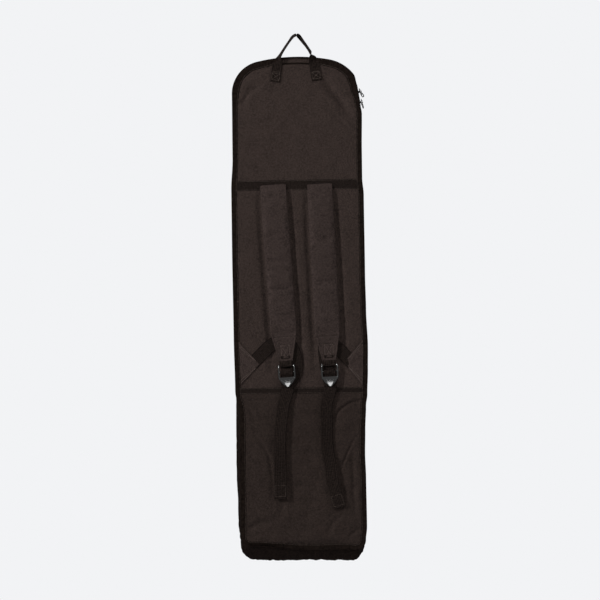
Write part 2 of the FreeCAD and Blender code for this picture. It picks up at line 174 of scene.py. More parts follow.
finishes = {
    # 600 denier polyester oxford with a coated back: dry and warm dark brown, with slubs that mottle it.
    # Its 0.6 mm threads are drawn twice as wide, because they would not show.
    "oxford": wovenCloth("coated_polyester_oxford", {
        "dark": "#241e1c", "light": "#473c38", "thread": 1.2, "slub": 5.6, "patch": 34.0, "mottle": 0.25,
        "relief": 0.45, "roughness": (0.75, 0.92), "sheen": 0.01, "ior": 1.05,
    }),
    # Painted shade: the same oxford a shade darker, for the lower section of the back panel, where less light falls.
    "oxfordLowShaded": wovenCloth("coated_polyester_oxford_painted_shade", {
        "dark": "#1f1a18", "light": "#3d332f", "thread": 1.2, "slub": 5.6, "patch": 34.0, "mottle": 0.25,
        "relief": 0.45, "roughness": (0.75, 0.92), "sheen": 0.01, "ior": 1.05,
    }),
    # Painted shade: the same oxford darkened almost to black for the gusset walls and the hinge fold, standing for the
    # shade in their creases and on their faces that turn away from the lamps.
    "oxfordGussetShaded": wovenCloth("coated_polyester_oxford_gusset_painted_shade", {
        "dark": "#070505", "light": "#201916", "thread": 1.2, "slub": 6.0, "patch": 26.0, "mottle": 0.3,
        "relief": 0.5, "roughness": (0.75, 0.92), "sheen": 0.01, "ior": 1.05,
    }),
    # The oxford of the pads and tabs, pulled over foam: the same brown, a little worn and lighter.
    "oxfordPad": wovenCloth("coated_polyester_oxford_pad", {
        "dark": "#241e1c", "light": "#493e3b", "thread": 1.2, "slub": 5.0, "patch": 22.0, "mottle": 0.3,
        "relief": 0.5, "roughness": (0.75, 0.92), "sheen": 0.01, "ior": 1.05,
    }),
    # Plain 210 denier nylon lining: thin, smooth and faintly shiny.
    "lining": wovenCloth("nylon_lining", {
        "dark": "#1b1b1d", "light": "#26262a", "thread": 0.8, "slub": 1.5, "patch": 40.0, "mottle": 0.3,
        "relief": 0.1, "roughness": (0.42, 0.55), "sheen": 0.02, "ior": 1.4,
    }),
    # Open-cell polyurethane foam: dull grey with small pores.
    "foam": wovenCloth("polyurethane_foam", {
        "dark": "#3f3f40", "light": "#55555a", "thread": 3.0, "slub": 1.2, "patch": 15.0, "mottle": 0.3,
        "relief": 0.5, "roughness": (0.9, 1.0), "sheen": 0.0, "ior": 1.1,
    }),
    # Polypropylene webbing, woven in lengthwise ribs: near black, and its ribs lighten the colour along each crest,
    # partly the weave's pattern and partly a painted gleam.
    "webbing": ribbedWebbing("polypropylene_webbing", {
        "dark": "#0d0a09", "light": "#2a2320", "rib": 3.6, "pick": 3.0, "fluff": 4.2, "relief": 0.3,
        "roughness": (0.55, 0.72), "sheen": 0.005, "ior": 1.04,
    }),
    # Grosgrain tape, flat and folded over the raw edges: near black, with fine ribs across.
    "grosgrain": ribbedWebbing("polyester_grosgrain", {
        "dark": "#040303", "light": "#1d1714", "rib": 40.0, "pick": 3.4, "fluff": 7.0, "relief": 0.6,
        "roughness": (0.6, 0.78), "sheen": 0.005, "ior": 1.04,
    }),
    # Woven polyester zip tape: black herringbone.
    "zipTape": ribbedWebbing("woven_zip_tape", {
        "dark": "#0e0c0b", "light": "#1b1715", "rib": 1.6, "pick": 1.2, "fluff": 3.0, "relief": 0.2,
        "roughness": (0.6, 0.75), "sheen": 0.005, "ior": 1.04,
    }),
    # Nylon monofilament coil: black with a small hard gleam on each turn.
    "coil": mouldedSolid("nylon_monofilament", {
        "dark": "#100f0e", "light": "#1c1a18", "grain": 0.5, "scuff": 6.0, "relief": 0.02,
        "roughness": (0.28, 0.42),
    }),
    # Spun polyester thread: its own brown, painted lighter than the cloth as a painted highlight for the light on
    # stitches that stand up from it.
    "thread": mouldedSolid("spun_polyester_thread_painted_highlight", {
        "dark": "#4a403b", "light": "#786b64", "grain": 0.3, "scuff": 4.0, "relief": 0.05,
        "roughness": (0.5, 0.65), "ior": 1.2,
    }),
    # Die-cast zinc under black paint, rubbed at the edges: dark and half glossy.
    "zipMetal": mouldedSolid("painted_zinc", {
        "dark": "#0a0908", "light": "#1c1a18", "grain": 0.4, "scuff": 2.5, "relief": 0.02,
        "roughness": (0.4, 0.55), "ior": 1.2,
    }),
    # Moulded acetal: black, smooth and glossy, so that its edges and thumb tab shine.
    "acetal": mouldedSolid("moulded_acetal", {
        "dark": "#0e0d0c", "light": "#171614", "grain": 0.7, "scuff": 8.0, "relief": 0.015,
        "roughness": (0.12, 0.17), "ior": 1.46,
    }),
}
print("materials ready")


def smoothStep(low, high, value):
    share = min(max((value - low) / (high - low), 0.0), 1.0)
    return share * share * (3.0 - 2.0 * share)


def noiseAt(x, z, sizeX, sizeZ, seed):
    return noise.noise(Vector((x / sizeX, z / sizeZ, seed)))


def steps(table, value):
    # smooth value between the pairs of a table that runs from high to low
    for (high, first), (low, second) in zip(table, table[1:]):
        if value >= low:
            return second + (first - second) * smoothStep(low, high, value)
    return table[-1][1]


def newPiece(name, bm, body, finish, nodes=(), sharp=40.0):
    bmesh.ops.scale(bm, vec=(mm, mm, mm), verts=bm.verts)
    mesh = bpy.data.meshes.new(name)
    bm.to_mesh(mesh)
    bm.free()
    for polygon in mesh.polygons:
        polygon.use_smooth = True
    mesh.set_sharp_from_angle(angle=math.radians(sharp))
    obj = bpy.data.objects.new(name, mesh)
    scene.collection.objects.link(obj)
    mesh.materials.append(finishes[finish])
    if nodes:
        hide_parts(*nodes)
    if body:
        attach(obj, body)
    return obj


def gridMesh(cols, rows, place, size=(1.0, 1.0)):
    # a plain grid whose corners are moved to place(u, v), with u and v from 0 to 1 and UVs in metres
    bm = bmesh.new()
    bmesh.ops.create_grid(bm, x_segments=cols, y_segments=rows, size=0.5)
    layer = bm.loops.layers.uv.new("UVMap")
    for face in bm.faces:
        for loop in face.loops:
            across, along = loop.vert.co.x + 0.5, loop.vert.co.y + 0.5
            loop[layer].uv = (across * size[0] * mm, along * size[1] * mm)
    for vert in bm.verts:
        vert.co = place(vert.co.x + 0.5, vert.co.y + 0.5)
    return bm


def closeShell(bm):
    bmesh.ops.remove_doubles(bm, verts=bm.verts, dist=0.002)
    loose = [e for e in bm.edges if e.is_boundary]
    if loose:
        bmesh.ops.holes_fill(bm, edges=loose, sides=0)
    bmesh.ops.recalc_face_normals(bm, faces=bm.faces)
    return bm


def sheetMesh(cols, rows, place, thickness, size=(1.0, 1.0)):
    # a grid given a wall of that thickness towards +Y, closed round its edge
    bm = gridMesh(cols, rows, place, size)
    bmesh.ops.recalc_face_normals(bm, faces=bm.faces)
    bm.normal_update()
    front = bm.faces[:]
    if sum(f.normal.y for f in front) > 0:
        bmesh.ops.reverse_faces(bm, faces=front)
    bmesh.ops.solidify(bm, geom=front, thickness=thickness)
    bmesh.ops.recalc_face_normals(bm, faces=bm.faces)
    return bm


shell = {
    "halfWidth": 193.5,
    "top": -68.0,
    "bottom": -1568.0,
    "panelBottom": -1535.0,
    "leftRadius": 97.0,
    "rightRadius": 120.0,
    "crownRadius": 526.0,
    "bottomRadius": 40.0,
    "panelRadius": 30.0,
    "skirt": 22.0,
    "upperSeam": -449.0,
    "lowerSeam": -1063.0,
}

# How far each edge stands outside (+) or inside (-) the plain outline, as (height, drift) pairs.
edgeDrift = {
    "leftPanel": (
        (-60, 0), (-200, -0.5), (-370, 0), (-462, 5), (-640, 5), (-900, 3.5), (-1062, 1.0),
        (-1130, -11), (-1380, -11), (-1480, -10), (-1540, -9),
    ),
    "leftShell": (
        (-60, 0), (-200, 0), (-370, 0), (-462, 4), (-640, 4), (-900, 2.5), (-1071, 0),
        (-1142, 1), (-1300, 2), (-1393, -1), (-1465, -2.5), (-1535, -9), (-1570, -12),
    ),
    "rightPanel": (
        (-60, 0), (-118, 0), (-150, -8), (-176, -11), (-205, -7), (-240, -2.5), (-340, -4), (-431, -4),
        (-480, 0), (-718, 0.8), (-825, 2.5), (-933, 6.5), (-1004, 5.5), (-1076, 3), (-1112, -1.5),
        (-1183, -4.5), (-1255, -6), (-1326, -4), (-1470, -3), (-1506, -6.8), (-1540, -8),
    ),
    "rightShell": (
        (-60, 0), (-118, 0), (-150, -6.5), (-180, -7.5), (-205, -5), (-240, -2), (-340, -3.5), (-431, -4.5),
        (-480, -1.5), (-718, -0.5), (-825, 0.5), (-933, 4), (-1004, 3.5), (-1076, 1), (-1112, -4),
        (-1183, -7), (-1255, -8.5), (-1326, -7), (-1470, -6), (-1506, -10), (-1570, -14),
    ),
}


def drifted(x, y, z):
    # moves a point of the plain shell to where the slack cloth of the real one is
    side = "right" if x > 0 else "left"
    reach = smoothStep(70.0, shell["halfWidth"] - 12.0, abs(x))
    inner = steps(edgeDrift[side + "Panel"], z)
    outer = steps(edgeDrift[side + "Shell"], z)
    depthShare = smoothStep(2.0, shell["skirt"], y)
    if side == "left" and outer > 0:
        outer *= 1.0 - smoothStep(26.0, 46.0, y)  # the fold that the lid turns about stays straight
    shift = (inner + (outer - inner) * depthShare) * reach
    low = 1.0 - smoothStep(shell["panelBottom"], -1440.0, z)
    slant = -0.045 * x - 3.0 * math.cos(x / 45.0)
    drop = slant * low * (1.0 - depthShare) - (4.0 + 0.014 * x) * low * depthShare
    return Vector((x + shift if x > 0 else x - shift, y, z + drop))


# Folds seen on the back panel: depth and half width of the valley, then its line.
folds = (
    (1.6, 9.0, (-86, -135), (-119, -152), (-140, -164), (-156, -188), (-162, -217)),
    (1.8, 4.0, (-176, -206), (-160, -196), (-146, -178)),
    (5.0, 12.0, (84, -143), (122, -182), (157, -233)),
    (1.4, 5.0, (112, -242), (136, -263), (157, -287)),
    (1.4, 3.5, (-172, -1086), (-147, -1089), (-105, -1090)),
    (2.6, 4.5, (96, -1150), (118, -1120), (146, -1102), (183, -1092)),
    (1.4, 7.0, (-171, -1101), (-147, -1149)),
    (1.2, 5.0, (-150, -1188), (-116, -1232), (-98, -1261), (-88, -1330), (-88, -1366)),
    (2.2, 3.5, (168, -1200), (141, -1250), (112, -1312)),
    (2.4, 7.5, (159, -1242), (157, -1287), (157, -1359), (160, -1431)),
    (1.8, 9.0, (-59, -1395), (-65, -1445)),
    (2.0, 7.0, (72, -1492), (95, -1455), (124, -1433)),
    (2.2, 6.0, (141, -1502), (167, -1478)),
    (2.6, 9.0, (-167, -1475), (-144, -1459), (-78, -1445)),
    (1.0, 4.0, (-19, -1309), (3, -1331)),
    (5.0, 12.0, (-178, -1545), (-60, -1530), (60, -1521), (178, -1528)),
)


def foldDepth(x, z):
    total = 0.0
    for depth, half, *line in folds:
        reach = 4.0 * half
        xs, zs = [p[0] for p in line], [p[1] for p in line]
        if not (min(xs) - reach < x < max(xs) + reach and min(zs) - reach < z < max(zs) + reach):
            continue
        best = None
        for i, ((x0, z0), (x1, z1)) in enumerate(zip(line, line[1:])):
            runX, runZ = x1 - x0, z1 - z0
            length = math.hypot(runX, runZ)
            share = min(max(((x - x0) * runX + (z - z0) * runZ) / length**2, 0.0), 1.0)
            gap = math.hypot(x - x0 - runX * share, z - z0 - runZ * share)
            if best is None or gap < best[0]:
                turn = runX * (z - z0) - runZ * (x - x0)
                best = (gap, (i + share) / (len(line) - 1), math.copysign(1.0, turn))
        gap, along, hand = best
        ends = math.sin(math.pi * (0.06 + 0.88 * along)) ** 0.6
        valley = math.exp(-((gap / half) ** 2))
        shoulder = 0.45 * math.exp(-((gap / half - 1.9) ** 2)) * (1.0 if hand > 0 else 0.4)
        total += depth * ends * (valley - shoulder)
    return total


def edgeGap(x, z):
    # distance in from the panel's outline
    half = shell["halfWidth"]
    gap = min(half - abs(x), z - shell["panelBottom"])
    side = "right" if x > 0 else "left"
    cornerX, cornerZ, _ = cornerCentre(shell[side + "Radius"])
    if z > cornerZ and abs(x) > cornerX:
        gap = min(gap, shell[side + "Radius"] - math.hypot(abs(x) - cornerX, z - cornerZ))
    crownZ = shell["top"] - shell["crownRadius"]
    return min(gap, shell["crownRadius"] - math.hypot(x, z - crownZ))


def strapHollow(x, z):
    # the cloth sinks a little along both sides of each shoulder strap
    total = 0.0
    for topX, slant, start in ((-76.0, 0.061, -447.7), (63.4, 0.041, -446.5)):
        if start - 600.0 < z < start:
            gap = abs(abs(x - topX - slant * (start - z)) - 44.0)
            total += 4.6 * math.exp(-((gap / 10.0) ** 2)) * smoothStep(0.0, 140.0, start - z) * smoothStep(0.0, 90.0, z - start + 600.0)
    return total


def relief(x, z):
    # how far the back panel's cloth is pushed in (+) or stands out (-)
    slack = 1.0 + 0.9 * (1.0 - smoothStep(-1120.0, -1040.0, z))
    depth = 1.3 * slack * noiseAt(x, z, 75.0, 120.0, 1.5)
    depth += 0.7 * slack * noiseAt(x, z, 28.0, 42.0, 7.5)
    depth += 0.22 * noiseAt(x, z, 11.0, 14.0, 3.5)
    gap = max(edgeGap(x, z), 0.0)
    pull = math.exp(-gap / 42.0)
    depth += 1.5 * pull * noiseAt(x, z, 90.0, 22.0, 11.5) * slack
    pinch = math.exp(-abs(gap - 15.0) / 7.0)
    depth += 0.8 * pinch * (0.6 + noiseAt(x, z, 13.0, 10.0, 4.5))
    depth += 1.5 * foldDepth(x, z) + strapHollow(x, z)
    seams = (shell["upperSeam"], shell["lowerSeam"])
    for seam, half in zip(seams, (15.0, 9.0)):
        beside = math.exp(-max(abs(z - seam) - half, 0.0) / 6.0)
        depth = depth * (1.0 - 0.6 * beside) + 0.5 * beside
    return min(max(depth, -1.6), 6.5)


def onPanel(x, z, lift=0.0):
    # a point that far in front of the back panel's cloth
    return drifted(x, 0.0, z) + Vector((0.0, relief(x, z) - lift, 0.0))


def cornerCentre(radius):
    x = shell["halfWidth"] - radius
    reach = shell["crownRadius"] - radius
    rise = math.sqrt(reach * reach - x * x)
    return x, shell["top"] - shell["crownRadius"] + rise, math.atan2(rise, x)


# How many steps each stretch of the outline has, anticlockwise from the foot of the left side.
rimSteps = {"lowCorner": 12, "low": 84, "side": 300, "topCorner": 36, "crown": 44}


def outlineFrames(bottom, lowRadius):
    # points (x, z) of the outline with their outward directions
    half = shell["halfWidth"]
    low = bottom + lowRadius
    rightX, rightZ, rightMeet = cornerCentre(shell["rightRadius"])
    leftX, leftZ, leftMeet = cornerCentre(shell["leftRadius"])
    points = []

    def arc(x, z, radius, start, end, count):
        for i in range(count):
            angle = start + (end - start) * i / count
            out = (math.cos(angle), math.sin(angle))
            points.append((x + radius * out[0], z + radius * out[1], *out))

    def straight(start, end, out, count):
        for i in range(count):
            share = i / count
            points.append((start[0] + (end[0] - start[0]) * share, start[1] + (end[1] - start[1]) * share, *out))

    arc(-half + lowRadius, low, lowRadius, math.pi, 1.5 * math.pi, rimSteps["lowCorner"])
    straight((-half + lowRadius, bottom), (half - lowRadius, bottom), (0.0, -1.0), rimSteps["low"])
    arc(half - lowRadius, low, lowRadius, -0.5 * math.pi, 0.0, rimSteps["lowCorner"])
    straight((half, low), (half, rightZ), (1.0, 0.0), rimSteps["side"])
    arc(rightX, rightZ, shell["rightRadius"], 0.0, rightMeet, rimSteps["topCorner"])
    crownZ = shell["top"] - shell["crownRadius"]
    arc(0.0, crownZ, shell["crownRadius"], rightMeet, math.pi - leftMeet, rimSteps["crown"])
    arc(-leftX, leftZ, shell["leftRadius"], math.pi - leftMeet, math.pi, rimSteps["topCorner"])
    straight((-half, leftZ), (-half, low), (-1.0, 0.0), rimSteps["side"])
    return points


panelRim = outlineFrames(shell["panelBottom"], shell["panelRadius"])
shellRim = outlineFrames(shell["bottom"], shell["bottomRadius"])
rimCount = len(panelRim)
rimMarks = [0]
for stretch in ("lowCorner", "low", "lowCorner", "side", "topCorner", "crown", "topCorner", "side"):
    rimMarks.append(rimMarks[-1] + rimSteps[stretch])


def runLengths(points):
    total = [0.0]
    for a, b in zip(points, points[1:]):
        total.append(total[-1] + math.dist(a[:2], b[:2]))
    return total


rimRun = runLengths(shellRim + shellRim[:1])


def rimAt(index, offset, y):
    # a point that far inside the rim, on the panel's outline at the back and the shell's further in
    i = index % rimCount
    px, pz, outX, outZ = panelRim[i]
    sx, sz, _, _ = shellRim[i]
    share = min(max((y - 1.5) / (shell["skirt"] - 1.5), 0.0), 1.0)
    x = px + (sx - px) * share - outX * offset
    z = pz + (sz - pz) * share - outZ * offset
    return x, z, outX, outZ


def evenly(points, count):
    # that many equal steps along a line of points
    total = [0.0]
    for a, b in zip(points, points[1:]):
        total.append(total[-1] + math.dist(a, b))
    out = []
    j = 0
    for i in range(count + 1):
        goal = total[-1] * i / count
        while j < len(points) - 2 and total[j + 1] < goal:
            j += 1
        share = (goal - total[j]) / max(total[j + 1] - total[j], 1e-9)
        out.append(tuple(a + (b - a) * share for a, b in zip(points[j], points[j + 1])))
    return out


def smoothLine(points, count):
    # a smooth line through the points, in even steps
    fine = []
    for i in range(len(points) - 1):
        p0, p1 = points[max(i - 1, 0)], points[i]
        p2, p3 = points[i + 1], points[min(i + 2, len(points) - 1)]
        for k in range(12):
            t = k / 12
            fine.append(tuple(
                0.5 * (2 * b + (c - a) * t + (2 * a - 5 * b + 4 * c - d) * t**2 + (3 * b - a - 3 * c + d) * t**3)
                for a, b, c, d in zip(p0, p1, p2, p3)
            ))
    fine.append(points[-1])
    return evenly(fine, count)


def patchPlace(left, right, low, high, cols, rows):
    # a grid that fills the space between four edge lines
    left, right = evenly(left, rows), evenly(right, rows)
    low, high = evenly(low, cols), evenly(high, cols)

    def place(u, v):
        i, j = round(u * cols), round(v * rows)
        return [
            (1 - v) * low[i][k] + v * high[i][k] + (1 - u) * left[j][k] + u * right[j][k]
            - (1 - u) * (1 - v) * low[0][k] - u * (1 - v) * low[-1][k]
            - (1 - u) * v * high[0][k] - u * v * high[-1][k]
            for k in (0, 1)
        ]

    return place


def rimLine(rim, first, last, inset):
    step = 1 if last > first else -1
    line = []
    for i in range(first, last + step, step):
        x, z, outX, outZ = rim[i % rimCount]
        line.append((x - outX * inset, z - outZ * inset))
    return line


def sectionEdges(rim, inset, lowZ, highZ):
    # the four edge lines of the part of a panel between two seams, or up to its own end
    half = shell["halfWidth"] - inset
    lowCorner, topRight, topLeft = rimSteps["lowCorner"] // 2, rimSteps["topCorner"] // 2, rimMarks[6]
    rightEnd = rimMarks[4] + topRight if highZ is None else rimMarks[4]
    rightStart = rimMarks[2] + lowCorner if lowZ is None else rimMarks[3]
    right = rimLine(rim, rightStart, rightEnd, inset)
    leftEnd = topLeft + topRight if highZ is None else rimMarks[7]
    leftStart = rimCount + lowCorner if lowZ is None else rimMarks[8]
    left = rimLine(rim, leftStart, leftEnd, inset)
    if lowZ is not None:
        right = [(half, lowZ)] + [p for p in right if p[1] > lowZ]
        left = [(-half, lowZ)] + [p for p in left if p[1] > lowZ]
        low = [(-half, lowZ), (half, lowZ)]
    else:
        low = rimLine(rim, lowCorner, rimMarks[2] + lowCorner, inset)
    if highZ is not None:
        right = [p for p in right if p[1] < highZ] + [(half, highZ)]
        left = [p for p in left if p[1] < highZ] + [(-half, highZ)]
        high = [(-half, highZ), (half, highZ)]
    else:
        high = rimLine(rim, leftEnd, rightEnd, inset)
    return left, right, low, high


backPanel = {
    "columns": 108,
    "coverThickness": 0.9,
    "foam": (1.7, 4.4),
    "lining": (6.6, 0.7),
    "foamInset": 4.0,
}


def makeBackPanel():
    seams = {
        "upper": (shell["upperSeam"], None, 104, "oxford"),
        "middle": (shell["lowerSeam"], shell["upperSeam"], 168, "oxford"),
        # the lower section takes the oxford darkened as painted shade
        "lower": (None, shell["lowerSeam"], 130, "oxfordLowShaded"),
    }
    for part, (lowZ, highZ, rows, finish) in seams.items():
        cols = backPanel["columns"]
        place = patchPlace(*sectionEdges(panelRim, 0.5, lowZ, highZ), cols, rows)
        bm = sheetMesh(cols, rows, lambda u, v: onPanel(*place(u, v)), backPanel["coverThickness"])
        name = "back_panel_" + part
        newPiece(name + "_cloth", bm, "bag", finish, [name])
    cols, rows = 54, 200
    place = patchPlace(*sectionEdges(panelRim, backPanel["foamInset"], None, None), cols, rows)
    for layer, finish, slotName in (("foam", "foam", "foam"), ("lining", "lining", "lining_fabric")):
        depth, thickness = backPanel[layer]
        bm = sheetMesh(cols, rows, lambda u, v: onPanel(*place(u, v), -depth), thickness)
        name = "back_panel_" + layer
        piece = newPiece(name + "_sheet", bm, "bag", finish, [name])


makeBackPanel()
print("back panel done")


def frontRelief(x, z):
    # how far the front panel's cloth is out (+) along +Y
    swell = 1.6 * noiseAt(x, z, 90.0, 150.0, 21.5) + 0.6 * noiseAt(x, z, 35.0, 50.0, 22.5)
    gap = max(edgeGap(x, max(z, shell["panelBottom"] + 30.0)), 0.0)
    fall = 1.2 * math.exp(-gap / 18.0)
    pulls = 0.7 * math.exp(-gap / 45.0) * noiseAt(x, z, 80.0, 22.0, 23.5)
    diagonal = 0.8 * math.exp(-(((x + 0.35 * z + 280.0) / 14.0) ** 2)) + 0.7 * math.exp(-(((x - 0.5 * z - 420.0) / 11.0) ** 2))
    return swell + pulls - fall - diagonal + 0.3


frontPanel = {"cover": (88.4, 0.9), "foam": (83.8, 4.2), "lining": (82.7, 0.7), "inset": 5.0}


def makeFrontPanel():
    cols, rows = 84, 300
    inset = frontPanel["inset"]
    layers = (
        ("cover", "oxford", "cover_fabric", cols, rows),
        ("foam", "foam", "foam", 54, 200),
        ("lining", "lining", "lining_fabric", 54, 200),
    )
    for layer, finish, slotName, layerCols, layerRows in layers:
        depth, thickness = frontPanel[layer]
        edges = sectionEdges(shellRim, inset, None, None)
        place = patchPlace(*edges, layerCols, layerRows)

        def placed(u, v):
            x, z = place(u, v)
            return drifted(x, depth, z) + Vector((0.0, frontRelief(x, z), 0.0))

        bm = sheetMesh(layerCols, layerRows, placed, thickness)
        name = "front_panel_" + layer
        piece = newPiece(name + "_sheet", bm, "lid", finish, [name])


makeFrontPanel()
print("front panel done")


def gussetWave(index, y):
    # how far the wall stands out, sagging between its seams and crumpled at the bottom
    x, z, outX, outZ = rimAt(index, 0.0, y)
    run = rimRun[index % rimCount]
    middle = math.sin(math.pi * min(max((y - 1.5) / 56.0, 0.0), 1.0))
    low = 1.0 - smoothStep(-1560.0, -1400.0, z)
    crumple = noiseAt(run, y, 34.0, 30.0, 31.5) * (0.9 + 2.9 * low)
    crumple += noiseAt(run, y, 12.0, 14.0, 32.5) * (0.5 + 3.0 * low)
    crumple += noiseAt(run, y, 6.0, 9.0, 33.5) * (0.2 + 1.3 * low)
    hold = smoothStep(0.0, 9.0, y) * (1.0 - smoothStep(50.0, 58.0, y))
    if x < -150.0:
        hold *= 1.0 - smoothStep(24.0, 42.0, y)
    return (0.6 * middle + crumple) * hold


def wallPoint(index, y, inset):
    x, z, outX, outZ = rimAt(index, inset - gussetWave(index, y), y)
    return drifted(x, y, z)


def frontWave(index, y):
    run = rimRun[index % rimCount]
    hold = smoothStep(72.0, 76.0, y) * (1.0 - smoothStep(83.0, 88.0, y))
    return hold * (0.5 + 0.9 * noiseAt(run, y, 26.0, 20.0, 35.5))


def frontWallPoint(index, y, inset):
    x, z, _, _ = rimAt(index, inset - frontWave(index, y), y)
    return drifted(x, y, z)


def ringStrip(first, last, section, point):
    # sweeps a closed section of (depth, inset) pairs along part of the rim, or all of it
    cols, rows = len(section), last - first
    lengths = [rimRun[i % rimCount] + (rimRun[-1] if i >= rimCount else 0.0) for i in range(first, last + 1)]
    around = sum(math.dist(a, b) for a, b in zip(section, section[1:] + section[:1]))

    def place(u, v):
        y, inset = section[round(u * cols) % cols]
        return point(first + round(v * rows), y, inset)

    bm = gridMesh(cols, rows, place, (around, lengths[-1] - lengths[0]))
    return closeShell(bm)


def wallSection(start, end, thickness, count):
    outer = [(start + (end - start) * i / count, 0.0) for i in range(count + 1)]
    return outer + [(y, thickness) for y, _ in reversed(outer)]


gusset = {"thickness": 1.4, "rear": (0.6, 58.0), "front": (72.0, 88.0), "topLow": -205.0, "bottomHigh": -1490.0}


def rimIndex(side, height):
    # the rim step nearest to a height on the right or left side
    start, end = (rimMarks[3], rimMarks[5]) if side == "right" else (rimMarks[6], rimMarks[8])
    return min(range(start, end + 1), key=lambda i: abs(shellRim[i % rimCount][1] - height))


def makeGussets():
    marks = {
        "bottom": (rimIndex("left", gusset["bottomHigh"]), rimCount + rimIndex("right", gusset["bottomHigh"])),
        "right": (rimIndex("right", gusset["bottomHigh"]), rimIndex("right", gusset["topLow"])),
        "top": (rimIndex("right", gusset["topLow"]), rimIndex("left", gusset["topLow"])),
        "left": (rimIndex("left", gusset["topLow"]), rimIndex("left", gusset["bottomHigh"])),
    }
    for part, (first, last) in marks.items():
        rear = wallSection(*gusset["rear"], gusset["thickness"], 16)
        bm = ringStrip(first, last, rear, wallPoint)
        # the walls take the gusset's oxford, darkened as painted shade
        newPiece("rear_wall_" + part, bm, "bag", "oxfordGussetShaded", ["rear_gusset_" + part])
        front = wallSection(*gusset["front"], gusset["thickness"], 6)
        bm = ringStrip(first, last, front, frontWallPoint)
        newPiece("front_wall_" + part, bm, "lid", "oxfordGussetShaded", ["front_gusset_" + part])


makeGussets()
print("gussets done")

binding = {
    # the tape's section as (inset, lift): its face on the panel, round the edge and back under itself
    "face": (
        (15.0, 0.1), (14.4, 1.0), (11.5, 1.25), (8.0, 1.4), (4.5, 1.5), (1.5, 1.5), (-0.6, 1.2), (-1.7, 0.2),
        (-1.8, -1.8), (-1.3, -3.4), (-0.6, -3.2), (-0.5, -1.0), (0.4, 0.0), (5.0, 0.1), (10.0, 0.1),
    ),
    "pucker": 1.5,
    "stitchInset": 12.8,
}


def bindingPoint(index, lift, inset):
    run = rimRun[index % rimCount]
    edge = 0.7 * noise.noise(Vector((run / 30.0, 0.0, 41.5))) * smoothStep(4.0, 14.0, inset)
    x, z, outX, outZ = rimAt(index, 0.0, 0.0)
    if inset > 0 and z > -230.0:
        crown = smoothStep(-48.0, -40.0, x) * (1.0 - smoothStep(38.0, 46.0, x))
        corner = smoothStep(60.0, 90.0, abs(x)) * smoothStep(-230.0, -150.0, z)
        inset *= 1.0 - 0.55 * crown + 0.35 * corner
    x, z, outX, outZ = rimAt(index, inset + edge, 0.0)
    face = smoothStep(0.0, 0.6, lift)
    ripple = binding["pucker"] * noiseAt(run, inset, 7.0, 11.0, 42.5) * face
    ripple += 0.9 * noiseAt(run, inset, 17.0, 30.0, 43.5) * face
    inside = smoothStep(-1.0, 2.0, inset)
    return drifted(x, 0.0, z) + Vector((0.0, relief(x, z) * inside - lift - ripple, 0.0))


def makeBinding():
    section = [(lift, inset) for inset, lift in binding["face"]]
    bm = ringStrip(0, rimCount, section, bindingPoint)
    newPiece("back_binding_tape", bm, "bag", "grosgrain", ["back_binding"], 60.0)

    def frontPoint(index, depth, inset):
        x, z, _, _ = rimAt(index, inset, 90.0)
        inside = smoothStep(0.0, 3.0, inset)
        ripple = 0.3 * noiseAt(rimRun[index % rimCount], inset, 8.0, 9.0, 45.5) * smoothStep(89.0, 89.6, depth)
        return drifted(x, depth, z) + Vector((0.0, frontRelief(x, z) * inside + ripple, 0.0))

    tape = (
        (86.0, -0.9), (86.0, -0.2), (88.4, -0.1), (88.9, 1.0), (88.7, 3.5), (88.6, 6.2), (89.4, 6.2),
        (89.9, 5.0), (90.0, 3.0), (90.0, 0.6), (89.4, -0.7), (88.0, -1.0),
    )
    bm = ringStrip(0, rimCount, list(tape), frontPoint)
    newPiece("front_binding_tape", bm, "lid", "grosgrain", ["front_binding"], 60.0)


makeBinding()


def makeCrownSeamShadow():
    # between the handle's feet the binding is narrow, and a dark tape runs inside it: partly a seam, partly painted
    # shade for the shadow line under the binding
    section = [(0.1, 15.5), (0.9, 16.0), (1.3, 18.0), (0.9, 20.2), (0.1, 20.8), (-0.1, 18.0)]
    first = min(range(rimMarks[5], rimMarks[6]), key=lambda i: abs(panelRim[i][0] - 41.0))
    last = min(range(rimMarks[5], rimMarks[6]), key=lambda i: abs(panelRim[i][0] + 44.0))

    def point(index, lift, inset):
        x, z, _, _ = rimAt(index, inset, 0.0)
        ripple = 0.4 * noiseAt(rimRun[index], inset, 7.0, 9.0, 46.5)
        return onPanel(x, z, lift + ripple * (lift > 0.5))

    bm = ringStrip(first, last, section, point)
    newPiece("crown_seam_shadow_tape", bm, "bag", "grosgrain")


makeCrownSeamShadow()
print("bindings done")


def tubeMesh(frames, section):
    # sweeps a closed section of (across, out) pairs along frames of (centre, across, out) vectors
    cols, rows = len(section), len(frames) - 1
    around = sum(math.dist(a, b) for a, b in zip(section, section[1:] + section[:1]))
    length = sum((b[0] - a[0]).length for a, b in zip(frames, frames[1:]))

    def place(u, v):
        a, b = section[round(u * cols) % cols]
        centre, across, out = frames[round(v * rows)]
        return centre + across * a + out * b

    return closeShell(gridMesh(cols, rows, place, (around, length)))


def strapSection(width, thickness, count=8):
    # a flat strip with rounded edges
    half, t = width / 2, thickness / 2
    side = [(-half, 0.35 * t), (-half + 0.35 * t, 0.85 * t)]
    top = [(-half + t + (width - 2 * t) * i / count, t) for i in range(count + 1)]
    upper = side + top + [(half - 0.35 * t, 0.85 * t), (half, 0.35 * t)]
    return upper + [(a, -b) for a, b in reversed(upper)]


def lineFrames(points, out=None):
    # frames along a line of points; out is the way the strip's face looks at each of them
    frames = []
    for i, point in enumerate(points):
        ahead = points[min(i + 1, len(points) - 1)] - points[max(i - 1, 0)]
        ahead.normalize()
        facing = out[i] if out else Vector((0.0, -1.0, 0.0))
        across = ahead.cross(facing).normalized()
        frames.append((point, across, across.cross(ahead).normalized()))
    return frames


